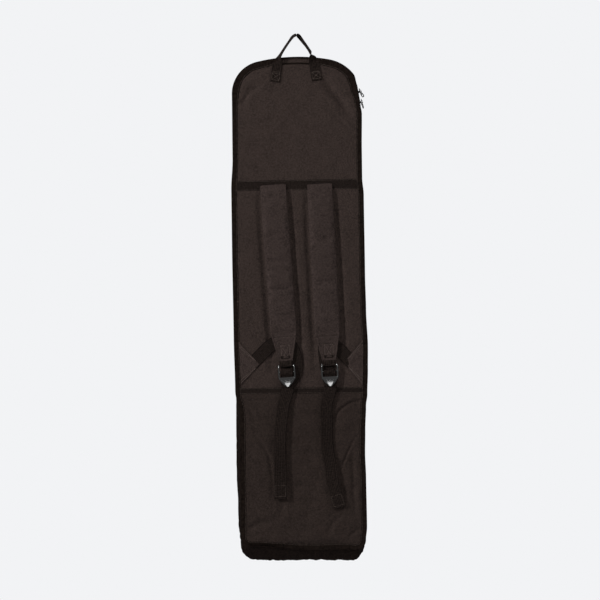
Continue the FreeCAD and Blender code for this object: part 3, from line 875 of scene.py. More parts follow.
def seedMesh(uSegments, vSegments):
    # one small round body, made once and then repeated
    bm = bmesh.new()
    bmesh.ops.create_uvsphere(bm, u_segments=uSegments, v_segments=vSegments, radius=1.0)
    mesh = bpy.data.meshes.new("seed")
    bm.to_mesh(mesh)
    bm.free()
    return mesh


def addCopy(bm, seed, matrix):
    seed.transform(matrix)
    bm.from_mesh(seed)
    seed.transform(matrix.inverted())


stitchSeed = seedMesh(6, 4)
toothSeed = seedMesh(8, 4)


def stitchRow(bm, points, facing, pitch=3.4, length=2.4, radius=0.38):
    # short raised stitches along a line of points
    total = sum((b - a).length for a, b in zip(points, points[1:]))
    count = max(int(total / pitch), 1)
    line = [Vector(p) for p in evenly([tuple(p) for p in points], count * 2)]
    for i in range(1, count * 2, 2):
        ahead = (line[i + 1] - line[i - 1]).normalized()
        side = ahead.cross(facing).normalized()
        up = side.cross(ahead)
        turn = Matrix((ahead, side, up)).transposed().to_4x4()
        size = Matrix.Diagonal((length / 2, radius, radius, 1.0))
        addCopy(bm, stitchSeed, Matrix.Translation(line[i]) @ turn @ size)


bands = {
    "upper": {"middle": -449.0, "width": 30.0, "slant": 0.006, "lift": 1.2},
    "lower": {"middle": -1063.0, "width": 18.0, "slant": -0.004, "lift": 1.1},
}


def makeBands():
    outward = Vector((0.0, -1.0, 0.0))
    threads = bmesh.new()
    for name, band in bands.items():
        half, lift = band["width"] / 2, band["lift"]
        end = shell["halfWidth"] - 13.0
        cols, rows = 90, 12
        faces = [(-half, 0.0), (-half + 0.4, lift * 0.8)]
        faces += [(-half + 1.2 + (band["width"] - 2.4) * i / 6, lift) for i in range(7)]
        faces += [(half - 0.4, lift * 0.8), (half, 0.0), (0.0, 0.05)]

        def place(u, v):
            x = -end + 2 * end * v
            across, up = faces[round(u * len(faces)) % len(faces)]
            z = band["middle"] + across + band["slant"] * x + 0.7 * noise.noise(Vector((x / 60.0, across / 20.0, 51.5)))
            ripple = 0.3 * noise.noise(Vector((x / 14.0, across / 10.0, 52.5))) * (up > 0.5)
            return onPanel(x, z, up + ripple)

        bm = closeShell(gridMesh(len(faces), cols, place, (band["width"] * 2, end * 2)))
        newPiece(name + "_band_tape", bm, "bag", "webbing", [name + "_band"])
        for edge in (-half + 2.2, half - 2.2):
            points = []
            for i in range(120):
                x = -end + 2 * end * i / 119
                points.append(onPanel(x, band["middle"] + edge + band["slant"] * x, lift + 0.25))
            stitchRow(threads, points, outward)
    line = []
    for i in range(rimCount + 1):
        line.append(bindingPoint(i, binding["face"][2][1] + 0.15, binding["stitchInset"]))
    stitchRow(threads, line, outward)
    newPiece("panel_stitching", threads, "bag", "thread")


makeBands()
print("bands done")

zipper = {
    "tape": {"rear": (56.5, 64.2), "front": (65.8, 73.5)},
    "tapeInset": (0.8, 1.9),
    "pitch": 3.0,
    "tooth": (1.9, 5.1, 1.7),
    "toothInset": -0.1,
}


def makeZip():
    start, end = 2, rimIndex("left", -116.0)
    outerInset, innerInset = zipper["tapeInset"]
    for half, body in (("rear", "bag"), ("front", "lid")):
        low, high = zipper["tape"][half]
        section = [(low + (high - low) * i / 4, outerInset) for i in range(5)]
        section += [(y, innerInset) for y, _ in reversed(section)]

        def tapePoint(index, y, inset):
            x, z, _, _ = rimAt(index, inset, y)
            return drifted(x, y, z)

        bm = ringStrip(start, end, section, tapePoint)
        newPiece(half + "_zip_tape_cloth", bm, body, "zipTape", [half + "_zip_tape"])
        teeth = bmesh.new()
        points = []
        for i in range(start, end + 1):
            x, z, outX, outZ = rimAt(i, zipper["toothInset"], 65.0)
            spot = drifted(x, 65.0, z)
            points.append((spot.x, spot.z, outX, outZ))
        length = runLengths(points)[-1]
        count = int(length / zipper["pitch"])
        places = evenly(points, count * 2)
        along, deep, high_ = zipper["tooth"]
        for i in range(1 if half == "rear" else 2, count * 2, 2):
            x, z, outX, outZ = places[i]
            middle = 65.0 - 1.3 if half == "rear" else 65.0 + 1.3
            turn = Matrix(((-outZ, 0.0, outX), (0.0, 1.0, 0.0), (outX, 0.0, outZ))).to_4x4()
            size = Matrix.Diagonal((along / 2, deep / 2, high_ / 2, 1.0))
            spot = Matrix.Translation((x, middle, z))
            addCopy(teeth, toothSeed, spot @ turn @ size)
        newPiece(half + "_zip_teeth", teeth, body, "coil", [half + "_zip_coil"])


makeZip()
print("zip done")

hingeFold = {"rear": (57.4, 64.7), "front": (65.3, 72.6), "inset": 0.1, "thickness": 1.2, "axis": (-195.0, 65.0)}


def makeHingeFold():
    # the folding left side: each wall runs on to the middle, and a soft strip covers the fold
    first, last = rimIndex("left", -116.0), rimCount + 2
    for half, body in (("rear", "bag"), ("front", "lid")):
        low, high = hingeFold[half]
        section = [(low + (high - low) * i / 3, 0.0) for i in range(4)]
        section += [(y, hingeFold["thickness"]) for y, _ in reversed(section)]

        def point(index, y, inset):
            x, z, _, _ = rimAt(index, inset + hingeFold["inset"], y)
            return drifted(x, y, z)

        bm = ringStrip(first, last, section, point)
        # the fold's walls and cover take the gusset's oxford, darkened as painted shade
        newPiece(half + "_fold_wall", bm, body, "oxfordGussetShaded")
    outer = [(58.0 + 14.0 * i / 12, -0.55) for i in range(13)]
    section = outer + [(y, -0.1) for y, _ in reversed(outer)]
    bm = ringStrip(rimMarks[7], rimMarks[8], section, lambda i, y, inset: drifted(*swapped(rimAt(i, inset, y), y)))
    piece = newPiece("fold_cover", bm, None, "oxfordGussetShaded")
    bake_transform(piece)


def swapped(place, y):
    return place[0], y, place[1]


makeHingeFold()
print("hinge fold done")

straps = {
    "left": {"top": (-76.0, -447.7), "lean": 3.5, "padWidth": 78.0},
    "right": {"top": (63.4, -446.5), "lean": 2.35, "padWidth": 75.0},
}


def strapPlace(side):
    # from a strap's own millimetres (across, depth, up from its top seam) to the bag's
    x, z = straps[side]["top"]
    lean = math.radians(straps[side]["lean"])
    return Matrix.Translation((x, 0.0, z)) @ Matrix.Rotation(-lean, 4, "Y")


def down(across, y, station):
    return Vector((across, y, -station))


def bendFrames(points, across):
    # frames for a strip that bends about one direction, given its half width or unit
    frames = []
    for i, point in enumerate(points):
        ahead = (points[min(i + 1, len(points) - 1)] - points[max(i - 1, 0)]).normalized()
        frames.append((point, across, across.normalized().cross(ahead).normalized()))
    return frames


pads = {
    "length": 450.0,
    "back": -2.3,
    "thickness": (2.2, 10.2),
    "around": 44,
    "rows": 96,
    "pressure": 3.0,
    "slack": -0.045,
    "frames": 20,
    "cap": 2.6,
    "foamInset": 3.0,
    "sink": 0.5,
    "creases": {
        "left": ((2.0, 3.0, (2, 203), (18, 196), (37, 186)),),
        "right": ((1.8, 3.0, (-33, 243), (-16, 235), (-6, 231)), (2.2, 3.0, (12, 224), (24, 218), (36, 212))),
    },
}


def padShape(side, inset):
    # a long flat cushion: thin where it is sewn to the band, full along its length
    half = straps[side]["padWidth"] / 2 - inset
    thin, full = pads["thickness"]

    def place(u, v):
        station = 5 * inset + (pads["length"] - 7 * inset) * v
        angle = 2 * math.pi * u
        across = math.copysign(abs(math.cos(angle)) ** 0.42, math.cos(angle))
        through = math.copysign(abs(math.sin(angle)) ** 0.62, math.sin(angle))
        end = 1.0 - 0.5 * smoothStep(pads["length"] - 24.0, pads["length"], station)
        whole = (thin + (full - thin) * smoothStep(0.0, 34.0, station)) * end
        thick = max(whole - 2 * inset, 0.6)
        narrow = 1.0 - 0.02 * (1.0 - smoothStep(0.0, 30.0, station)) * abs(across)
        y = pads["back"] - 0.5 * whole + 0.5 * thick * through
        return down(half * across * narrow, y, station)

    bm = gridMesh(pads["around"], pads["rows"], place, (160.0, pads["length"]))
    return closeShell(bm)


def settle(obj, pinned):
    # a short cloth run that swells the pad between its seams
    group = obj.vertex_groups.new(name="seams")
    group.add(pinned, 1.0, "REPLACE")
    before = [(v.co.copy(), v.normal.copy()) for v in obj.data.vertices]
    cloth = obj.modifiers.new("swell", "CLOTH")
    cloth.settings.use_pressure = True
    cloth.settings.uniform_pressure_force = pads["pressure"]
    cloth.settings.effector_weights.gravity = 0.0
    cloth.settings.shrink_min = pads["slack"]
    cloth.settings.bending_stiffness = 0.25
    cloth.settings.vertex_group_mass = "seams"
    cloth.point_cache.frame_start = 1
    cloth.point_cache.frame_end = pads["frames"]
    for step in range(1, pads["frames"] + 1):
        scene.frame_set(step)
    settled = obj.evaluated_get(bpy.context.evaluated_depsgraph_get()).data
    after = [v.co.copy() for v in settled.vertices]
    obj.modifiers.remove(cloth)
    obj.vertex_groups.clear()
    cap, sink = pads["cap"] * mm, pads["sink"] * mm
    for vert, (old, normal), new in zip(obj.data.vertices, before, after):
        move = new - old
        if move.length > cap:
            move *= cap / move.length
        inward = move.dot(normal)
        if inward < -sink:
            move -= normal * (inward + sink)
        vert.co = old + move


def creaseLine(across, station, lines):
    # depth of the listed creases at a point of a strap
    total = 0.0
    for depth, half, *line in lines:
        for (a0, s0), (a1, s1) in zip(line, line[1:]):
            run = math.hypot(a1 - a0, s1 - s0)
            share = ((across - a0) * (a1 - a0) + (station - s0) * (s1 - s0)) / run**2
            if 0.0 <= share <= 1.0:
                gap = abs((across - a0) * (s1 - s0) - (station - s0) * (a1 - a0)) / run
                total = max(total, depth * math.exp(-((gap / half) ** 2)))
    return total


def dressPad(mesh, side):
    # seams, puckers and creases that the cloth run is too coarse for
    half = straps[side]["padWidth"] / 2
    for vert in mesh.vertices:
        across, y, station = vert.co.x / mm, vert.co.y / mm, -vert.co.z / mm
        front = 1.0 - smoothStep(-8.0, -5.0, y)
        edge = half - abs(across)
        seamTop = math.exp(-(((station - 9.0) / 2.6) ** 2))
        pucker = 0.55 * noiseAt(across, station, 6.0, 9.0, 61.5) * math.exp(-max(station, 0.0) / 16.0)
        pucker += 0.6 * noiseAt(across, station, 12.0, 9.0, 62.5) * math.exp(-edge / 8.0)
        pucker += 0.9 * noiseAt(across, station, 7.0, 16.0, 65.5) * math.exp(-max(450.0 - station, 0.0) / 10.0)
        pucker += 0.5 * noiseAt(across, station, 26.0, 46.0, 63.5)
        pucker += 0.22 * noiseAt(across, station, 9.0, 14.0, 64.5)
        sink = creaseLine(across, station, pads["creases"][side]) + 0.7 * seamTop
        vert.co.y += (pucker + sink) * front * mm
        stick = 1.4 * math.exp(-((abs(across) - half) ** 2) / 20.0) * math.exp(-station / 6.0)
        vert.co.x += math.copysign(stick * mm, across)
        vert.co.z += 0.8 * stick * mm
        vert.co.y = min(vert.co.y, -1.75 * mm)


def makePad(side):
    place = strapPlace(side)
    place.translation *= mm
    name = side + "_pad_"
    piece = newPiece(name + "cloth", padShape(side, 0.0), None, "oxfordPad", [name + "cover"])
    half = straps[side]["padWidth"] / 2 * mm
    pinned = [
        v.index for v in piece.data.vertices
        if abs(v.co.x) > half - 1.2 * mm or v.co.z > -6 * mm or v.co.z < -(pads["length"] - 5.0) * mm
    ]
    settle(piece, pinned)
    dressPad(piece.data, side)
    piece.data.transform(place)
    smooth = piece.modifiers.new("smooth", "SUBSURF")
    smooth.levels = smooth.render_levels = 1
    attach(piece, side + "_strap")
    core = newPiece(name + "core", padShape(side, pads["foamInset"]), None, "foam", [name + "foam"])
    core.data.transform(place)
    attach(core, side + "_strap")


endTab = {
    # (station, half width, depth of the middle)
    "line": ((440.0, 37.5, -7.4), (452.0, 37.2, -7.9), (475.0, 32.2, -7.9), (500.0, 26.5, -7.8), (519.0, 22.2, -7.75),
             (527.0, 20.8, -7.75)),
    "hem": ((-1.0, 0.0), (-0.99, 1.4), (-0.95, 2.7), (-0.88, 2.6), (-0.82, 1.5)),
    "groove": (1.7, 1.8),
    "box": (480.0, 520.0, 13.0),
    "stitchLift": 1.75,
}


def tabDepth(side, across, station):
    # soft dents, and the grooves that the box and cross of stitches press into the tab
    top, low, half = endTab["box"]
    box = ((-half, top), (half, top), (half - 1.0, low), (-half + 1.0, low))
    deep, wide = endTab["groove"]
    lines = [(deep, wide, a, b) for a, b in zip(box, box[1:] + box[:1])] + [(deep, wide, box[0], box[2])]
    lines += [(deep, wide, box[1], box[3]), (1.3, 2.2, (-40.0, 458.0), (40.0, 458.0))]
    dents = 0.6 * noiseAt(across + (200.0 if side == "left" else 0.0), station, 13.0, 12.0, 66.5)
    return dents + creaseLine(across, station, lines)


def makeEndTab(side):
    place = strapPlace(side)
    widen = straps[side]["padWidth"] / 78.0
    frames = []
    hems = endTab["hem"]
    face = [(-0.8 + 1.6 * i / 26, 1.6 + 0.1 * math.cos(math.pi * (i / 13 - 1.0))) for i in range(27)]
    section = list(hems) + face + [(-a, b) for a, b in reversed(hems)] + [(0.9, -1.4), (0.0, -1.5), (-0.9, -1.4)]
    for station, half, y in smoothLine(endTab["line"], 64):
        hem = 1.0 + 0.5 * math.exp(-(((station - 523.0) / 2.8) ** 2)) + 0.7 * math.exp(-(((station - 452.0) / 3.0) ** 2))
        narrow = widen if station < 490.0 else 1.0
        frames.append((down(0.0, y, station), Vector((half * narrow, 0.0, 0.0)), Vector((0.0, -hem, 0.0))))
    bm = tubeMesh(frames, section)
    for vert in bm.verts:
        vert.co.y += tabDepth(side, vert.co.x, -vert.co.z) * (vert.co.y < -8.0)
    bmesh.ops.transform(bm, matrix=place, verts=bm.verts)
    newPiece(side + "_end_tab_cloth", bm, side + "_strap", "oxfordPad", [side + "_end_tab"])
    top, low, half = endTab["box"]
    threads = bmesh.new()
    outward = Vector((0.0, -1.0, 0.0))

    def row(a, b, rows=14):
        points = []
        for i in range(rows + 1):
            across, station = (p + (q - p) * i / rows for p, q in zip(a, b))
            y = -7.8 - endTab["stitchLift"] + tabDepth(side, across, station)
            points.append(place @ down(across, y, station))
        stitchRow(threads, points, outward, 4.2, 3.2, 0.55)

    corners = ((-half, top), (half, top), (half - 1.0, low), (-half + 1.0, low))
    for a, b in zip(corners, corners[1:] + corners[:1]):
        row(a, b)
    row(corners[0], corners[2])
    row(corners[1], corners[3])
    row((-34.0 * widen, 457.0), (34.0 * widen, 457.0))
    newPiece(side + "_tab_stitching", threads, side + "_strap", "thread")


strapWeb = {"width": 38.0, "ply": 1.5, "anchorWidth": 38.8}


def pathPoints(line, count, across=0.0):
    # a smooth path from (station, depth) pairs
    return [down(across, y, station) for station, y in smoothLine(line, count)]


def makeBuckleLoop(side):
    line = (
        (512.0, -8.1), (522.0, -8.2), (528.5, -8.9), (534.0, -10.4), (538.5, -11.5), (541.5, -11.6), (543.8, -10.4),
        (544.2, -8.5), (543.6, -6.5), (541.5, -5.4), (537.0, -5.6), (530.0, -6.5), (522.0, -7.1), (512.0, -7.2),
    )
    frames = bendFrames(pathPoints(line, 44), Vector((1.0, 0.0, 0.0)))
    bm = tubeMesh(frames, strapSection(strapWeb["width"], strapWeb["ply"]))
    bmesh.ops.transform(bm, matrix=strapPlace(side), verts=bm.verts)
    newPiece(side + "_loop_webbing", bm, side + "_strap", "webbing", [side + "_buckle_loop"])


def roundSection(width, height, bevel, count=3):
    # a rectangle with round corners
    points = []
    for cornerX, cornerY, start in ((1, 1, 0), (-1, 1, 90), (-1, -1, 180), (1, -1, 270)):
        for i in range(count + 1):
            angle = math.radians(start + 90.0 * i / count)
            points.append((
                cornerX * (width / 2 - bevel) + bevel * math.cos(angle),
                cornerY * (height / 2 - bevel) + bevel * math.sin(angle),
            ))
    return points


lock = {
    "railX": 22.7,
    "railBow": 0.9,
    "rail": (538.5, 583.0),
    "bars": ((541.0, -8.5, 2.0), (560.0, -8.0, 2.0)),
    "lowBar": (579.0, -10.6, 6.0, 3.8),
    # (station, half width, depth) down the thumb tab
    "tab": ((575.5, 21.8, -12.9), (580.0, 22.4, -13.1), (586.0, 20.0, -13.9), (592.0, 15.8, -15.1), (597.5, 11.0, -16.5),
            (601.8, 6.2, -17.7), (604.0, 2.2, -18.4)),
    "tabThickness": 2.2,
    "ridges": (585.5, 589.0, 592.5),
}


def makeLock(side):
    bm = bmesh.new()

    def add(part):
        mesh = bpy.data.meshes.new("part")
        part.to_mesh(mesh)
        part.free()
        bm.from_mesh(mesh)
        bpy.data.meshes.remove(mesh)

    low, high = lock["rail"]
    for hand in (-1.0, 1.0):
        frames = []
        for i in range(25):
            share = i / 24
            bow = lock["railBow"] * math.sin(math.pi * share)
            full = min(1.0, 0.62 + 2.6 * min(share, 1.0 - share))
            centre = down(hand * (lock["railX"] + bow), -8.6 - 1.0 * math.sin(math.pi * share), low + (high - low) * share)
            frames.append((centre, Vector((full, 0.0, 0.0)), Vector((0.0, -full, 0.0))))
        add(tubeMesh(frames, roundSection(4.6, 7.6, 1.6)))
    inside = lock["railX"] - 1.0
    for station, y, radius in lock["bars"]:
        frames = [
            (down(inside * (i / 6 - 1.0), y, station), Vector((0.0, 1.0, 0.0)), Vector((0.0, 0.0, 1.0))) for i in range(13)
        ]
        add(tubeMesh(frames, roundSection(2 * radius, 2 * radius, radius * 0.95, 4)))
    station, y, wide, thick = lock["lowBar"]
    frames = [
        (down(inside * (i / 6 - 1.0), y, station), Vector((0.0, 0.0, 1.0)), Vector((0.0, 1.0, 0.0))) for i in range(13)
    ]
    add(tubeMesh(frames, roundSection(wide, thick, 1.3)))
    tab = smoothLine(lock["tab"], 26)
    frames = []
    for i, (station, half, y) in enumerate(tab):
        before, after = tab[max(i - 1, 0)], tab[min(i + 1, len(tab) - 1)]
        ahead = down(0.0, after[2] - before[2], after[0] - before[0]).normalized()
        out = ahead.cross(Vector((1.0, 0.0, 0.0))).normalized()
        if out.y > 0:
            out = -out
        frames.append((down(0.0, y, station), Vector((half, 0.0, 0.0)), out))
    half = lock["tabThickness"] / 2
    face = [(-1.0, 0.0), (-0.97, 0.7 * half), (-0.9, half), (-0.5, 1.1 * half), (0.0, 1.15 * half)]
    face += [(-a, b) for a, b in reversed(face[:-1])]
    add(tubeMesh(frames, face + [(0.9, -half), (0.0, -half), (-0.9, -half)]))
    for ridge in lock["ridges"]:
        spot = min(frames, key=lambda f: abs(-f[0].z - ridge))
        reach = spot[1].x - 4.2
        line = [
            (spot[0] + Vector((reach * (i / 5 - 1.0), 0.0, 0.0)) + spot[2] * half, Vector((0.0, 0.0, 1.0)), spot[2])
            for i in range(11)
        ]
        add(tubeMesh(line, roundSection(1.3, 1.3, 0.6)))
    bmesh.ops.transform(bm, matrix=strapPlace(side), verts=bm.verts)
    newPiece(side + "_lock_moulding", bm, side + "_buckle", "acetal", [side + "_ladder_lock"], 50.0)


def makeBuckleWebbing(side):
    line = (
        (603.0, -4.9), (590.0, -4.9), (575.0, -4.8), (566.0, -4.7), (561.0, -4.75), (558.0, -5.7), (556.9, -8.0),
        (557.8, -10.2), (560.5, -11.1), (565.0, -10.8), (570.0, -8.9), (575.0, -6.9), (582.0, -6.6), (589.0, -6.7),
    )
    frames = bendFrames(pathPoints(line, 60), Vector((1.0, 0.0, 0.0)))
    bm = tubeMesh(frames, strapSection(strapWeb["width"], strapWeb["ply"]))
    bmesh.ops.transform(bm, matrix=strapPlace(side), verts=bm.verts)
    newPiece(side + "_turn_webbing", bm, side + "_buckle", "webbing", [side + "_buckle_webbing"])


tails = {
    # (x, depth, z, roll in degrees) down each loose end
    "left": ((-52.0, -8.4, -1105.0, 4), (-59.3, -9.6, -1150.0, 8), (-63.4, -11.0, -1195.0, 4), (-64.9, -12.2, -1240.0, -4),
             (-64.3, -13.0, -1284.0, -8), (-64.6, -12.6, -1329.0, 0), (-65.3, -11.4, -1383.0, 4)),
    "right": ((75.7, -8.0, -1107.0, -4), (75.7, -8.6, -1152.0, -9), (76.0, -8.8, -1197.0, -12), (78.4, -8.4, -1241.0, -8),
              (85.2, -8.0, -1286.0, 2), (90.6, -8.4, -1331.0, 8), (101.9, -8.8, -1379.0, 4), (111.9, -8.2, -1413.0, 0)),
    "lead": ((588.4, -6.7), (596.0, -6.7), (605.2, -6.8), (614.0, -7.2)),
    "hem": 42.0,
    "joint": (600.0, 611.0),
}


def rolledFrames(line, count):
    # frames for a strip whose face is turned about its own line by the last value of each point
    fine = smoothLine(line, count)
    points = [Vector(p[:3]) for p in fine]
    out = []
    for i, p in enumerate(fine):
        ahead = (points[min(i + 1, count)] - points[max(i - 1, 0)]).normalized()
        out.append(Matrix.Rotation(math.radians(p[3]), 3, ahead) @ Vector((0.0, -1.0, 0.0)))
    return lineFrames(points, out)


def foldBack(frames, length, gap):
    # turns a strip's end under and runs it back along itself
    out = list(frames)
    for k in range(1, 6):
        angle = math.pi * k / 6
        centre, across, face = frames[-1]
        ahead = face.cross(across)
        middle = centre - face * gap / 2
        turned = face * math.cos(angle) + ahead * math.sin(angle)
        out.append((middle + turned * gap / 2, across, turned))
    travelled = 0.0
    for i in range(len(frames) - 1, 0, -1):
        centre, across, face = frames[i]
        out.append((centre - face * gap, across, -face))
        travelled += (frames[i][0] - frames[i - 1][0]).length
        if travelled > length:
            break
    return out


def makeTail(side):
    place = strapPlace(side)
    lead = [(*(place @ down(0.0, y, station)), 0.0) for station, y in tails["lead"]]
    frames = rolledFrames(tuple(lead) + tails[side], 110)
    hemRun = foldBack(frames, tails["hem"], strapWeb["ply"] + 0.15)
    bm = tubeMesh(hemRun, strapSection(strapWeb["width"] - 0.6, strapWeb["ply"], 10))
    for vert in bm.verts:
        vert.co.y += 0.25 * noise.noise(vert.co / 9.0)
    piece = newPiece(side + "_tail_webbing", bm, None, "webbing", [side + "_tail"])
    start, end = (place @ down(0.0, -6.7, station) * mm for station in tails["joint"])
    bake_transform(piece)
    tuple(start)
    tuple(end)
    threads = bmesh.new()
    total = 0.0
    rows = {}
    for i in range(len(frames) - 1, 0, -1):
        total += (frames[i][0] - frames[i - 1][0]).length
        for goal in (5.0, 36.0):
            if goal not in rows and total > goal:
                rows[goal] = frames[i - 1]
    half = strapWeb["width"] / 2 - 3.0
    lift = strapWeb["ply"] / 2 + 0.2
    ends = {}
    for goal, (centre, across, face) in rows.items():
        ends[goal] = [centre + across * half * hand + face * lift for hand in (-1.0, 1.0)]
        stitchRow(threads, [ends[goal][0].lerp(ends[goal][1], i / 8) for i in range(9)], face)
    for hand in (0, 1):
        a, b = ends[5.0][hand], ends[36.0][hand]
        stitchRow(threads, [a.lerp(b, i / 8) for i in range(9)], rows[5.0][2])
    newPiece(side + "_tail_stitching", threads, side + "_tail", "thread")


anchors = {
    # the triangular tab: top and bottom of its side edge, then its tip
    "left": ((-180.0, -916.0), (-178.0, -1045.0), (-121.0, -984.0)),
    "right": ((180.0, -911.0), (180.0, -1050.0), (126.6, -981.5)),
    "lift": (0.3, 3.5, 2.9),
    "hem": 0.16,
}

anchorWebs = {
    # (x, depth, z, roll in degrees) from inside the tab, under the pad's end and back to the buckle
    "left": ((-154.0, -1.0, -990.0, 0), (-126.0, -1.0, -962.8, 0), (-92.0, -0.9, -930.0, 0), (-62.0, -1.2, -912.0, 0),
             (-44.0, -1.9, -914.0, 0), (-27.0, -2.6, -930.0, 0), (-15.0, -2.8, -958.0, -5), (-11.0, -3.0, -990.0, -8),
             (-17.0, -3.6, -1018.0, -5), (-30.0, -4.3, -1036.0, 0), (-38.6, -4.9, -1046.0, 0)),
    "right": ((156.0, -1.0, -985.0, 0), (133.0, -1.0, -960.0, 0), (104.0, -0.9, -931.0, 0), (86.0, -1.3, -914.0, 0),
              (75.0, -2.0, -920.0, 0), (72.0, -2.6, -942.0, 3), (75.0, -2.8, -975.0, 5), (80.0, -3.2, -1006.0, 3),
              (86.0, -4.2, -1032.0, 0), (88.2, -4.9, -1046.0, 0)),
}


def makeAnchor(side):
    top, low, tip = anchors[side]
    edge, hem, face = anchors["lift"]
    cols, rows = 22, 34

    def liftAt(u, v):
        # the hem stands a little above the face, and the upper side stays open for the strip
        inside = min(v, 1.0 - v) * (1.0 - u) * 2.2
        raised = face + (hem - face) * (1.0 - smoothStep(anchors["hem"] * 0.6, anchors["hem"], inside))
        if inside < 0.04 and v > 0.5:
            return edge + (raised - edge) * inside / 0.04
        return raised + 0.5 * (v < 0.5) * u

    def place(u, v):
        x = top[0] + (low[0] - top[0]) * v
        z = top[1] + (low[1] - top[1]) * v
        x, z = x + (tip[0] - x) * u * 0.985, z + (tip[1] - z) * u * 0.985
        lift = liftAt(u, v) + 0.3 * noiseAt(x, z, 14.0, 14.0, 71.5)
        return onPanel(x, z, lift)

    bm = sheetMesh(cols, rows, place, 0.5)
    newPiece(side + "_anchor_cloth", bm, "bag", "oxfordPad", [side + "_anchor_tab"])
    threads = bmesh.new()
    outward = Vector((0.0, -1.0, 0.0))
    for inset in (0.05, 0.12):
        for v in (inset, 1.0 - inset):
            line = [place(i / 23 * (0.88 - inset), v) + outward * 0.25 for i in range(24)]
            stitchRow(threads, line, outward, 4.6, 3.6, 0.65)
    newPiece(side + "_anchor_stitching", threads, "bag", "thread")
    frames = rolledFrames(anchorWebs[side], 96)
    settled = []
    for centre, across, out in frames:
        onCloth = relief(centre.x, centre.z) * smoothStep(90.0, 120.0, abs(centre.x))
        settled.append((centre + Vector((0.0, min(onCloth, 0.0), 0.0)), across, out))
    bm = tubeMesh(settled, strapSection(strapWeb["anchorWidth"], strapWeb["ply"], 10))
    piece = newPiece(side + "_anchor_strip", bm, None, "webbing", [side + "_anchor_webbing"])
    ahead = {"left": ((-96.0, -960.0), (-34.0, -1034.0)), "right": ((118.0, -950.0), (86.0, -1034.0))}[side]
    start, end = ((x * mm, 0.0, z * mm) for x, z in ahead)
    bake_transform(piece)
    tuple(start)
    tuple(end)


for side in ("left", "right"):
    makePad(side)
    makeEndTab(side)
    makeBuckleLoop(side)
    makeLock(side)
    makeBuckleWebbing(side)
    makeTail(side)
    makeAnchor(side)
    print(side + " strap done")

handle = {
    "width": 30.0,
    "ply": 1.8,
    # (x, z, turn in degrees) from the left foot over the apex to the right foot
    "line": (
        (-65.0, -142.0, 0), (-61.0, -111.0, 0), (-57.6, -88.0, 2), (-55.4, -77.0, 34), (-52.8, -68.5, 62),
        (-46.5, -58.0, 72), (-34.0, -38.5, 74), (-21.0, -20.2, 74), (-11.2, -7.4, 70), (-3.6, -2.5, 68),
        (-0.6, -2.0, 70), (2.6, -2.4, 98), (9.0, -7.6, 104), (18.4, -20.2, 101), (28.6, -34.0, 98),
        (37.6, -47.5, 98), (42.4, -56.5, 97), (46.6, -66.5, 54), (49.8, -77.0, 30), (52.4, -88.0, 6), (56.0, -111.0, 0),
        (59.7, -137.0, 0),
    ),
    "depth": -2.4,
    "hinge": (-73.0, -62.0),
    "hem": 42.0,
    "rows": {"left": (-112.0, -116.0, -136.0), "right": (-110.0, -114.0, -132.0)},
}


def makeHandle():
    fine = smoothLine(handle["line"], 210)
    points = [Vector((x, handle["depth"], z)) for x, z, _ in fine]
    last = len(points) - 1
    out = []
    for i, (x, z, turn) in enumerate(fine):
        ahead = (points[min(i + 1, last)] - points[max(i - 1, 0)]).normalized()
        angle = math.radians(turn)
        outer = Vector((-ahead.z, 0.0, ahead.x))
        out.append(Vector((0.0, -math.cos(angle), 0.0)) + outer * math.sin(angle))
        low = 1.0 - smoothStep(-100.0, -82.0, z)
        points[i] = points[i] + Vector((0.0, 0.5 * relief(x, z) * low, 0.0)) if z < -82.0 else points[i]
    frames = [
        (centre, across, face * (1.0 + 0.3 * smoothStep(-75.0, -60.0, centre.z)))
        for centre, across, face in lineFrames(points, out)
    ]
    section = strapSection(handle["width"], handle["ply"], 10)
    piece = newPiece("handle_webbing", tubeMesh(frames, section), None, "webbing", ["handle_loop"])
    low, high = handle["hinge"]
    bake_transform(piece)
    threads = bmesh.new()
    outward = Vector((0.0, -1.0, 0.0))
    for side, foot in (("left", frames[:34][::-1]), ("right", frames[-34:])):
        # the turned hem under each end
        gap = handle["ply"] + 0.1
        hem = foldBack(foot, handle["hem"], gap)[len(foot) - 3:]
        bm = tubeMesh(hem, strapSection(handle["width"] - 0.3, handle["ply"] - 0.1, 10))
        newPiece(side + "_handle_foot", bm, "bag", "webbing", [side + "_handle_end"])
        half, lift = handle["width"] / 2 - 3.4, handle["ply"] / 2 + 0.25
        ends = []
        for height in handle["rows"][side]:
            centre, across, _ = min(foot, key=lambda f: abs(f[0].z - height))
            ends.append([centre + across * half * hand + outward * lift for hand in (-1.0, 1.0)])
        runs = ends + [(ends[1][0], ends[2][0]), (ends[1][1], ends[2][1])]
        runs += [(ends[1][0], ends[2][1]), (ends[1][1], ends[2][0])]
        for a, b in runs:
            stitchRow(threads, [a.lerp(b, i / 8) for i in range(9)], outward, 3.4, 2.5, 0.5)
    newPiece("handle_stitching", threads, "bag", "thread")


makeHandle()
print("handle done")

sliders = {
    "depth": 65.0,
    "lowerHeight": -197.0,
    "upperTurn": 14.3,
    "wing": (20.0, 12.0, 2.0),
    "outerWing": 2.4,
    "innerWing": -3.8,
    "bridge": (6.0, 4.2, 3.0, 1.4),
    "pin": 4.9,
    "puller": (19.0, 8.0, 1.7, 10.0),
    "inset": 2.0,
}


def rounded(bm, width, amount):
    edges = [e for e in bm.edges if e.calc_length() > width]
    bmesh.ops.bevel(
        bm, geom=edges, offset=amount, offset_type="OFFSET", segments=3, profile=0.5, affect="EDGES", material=-1
    )


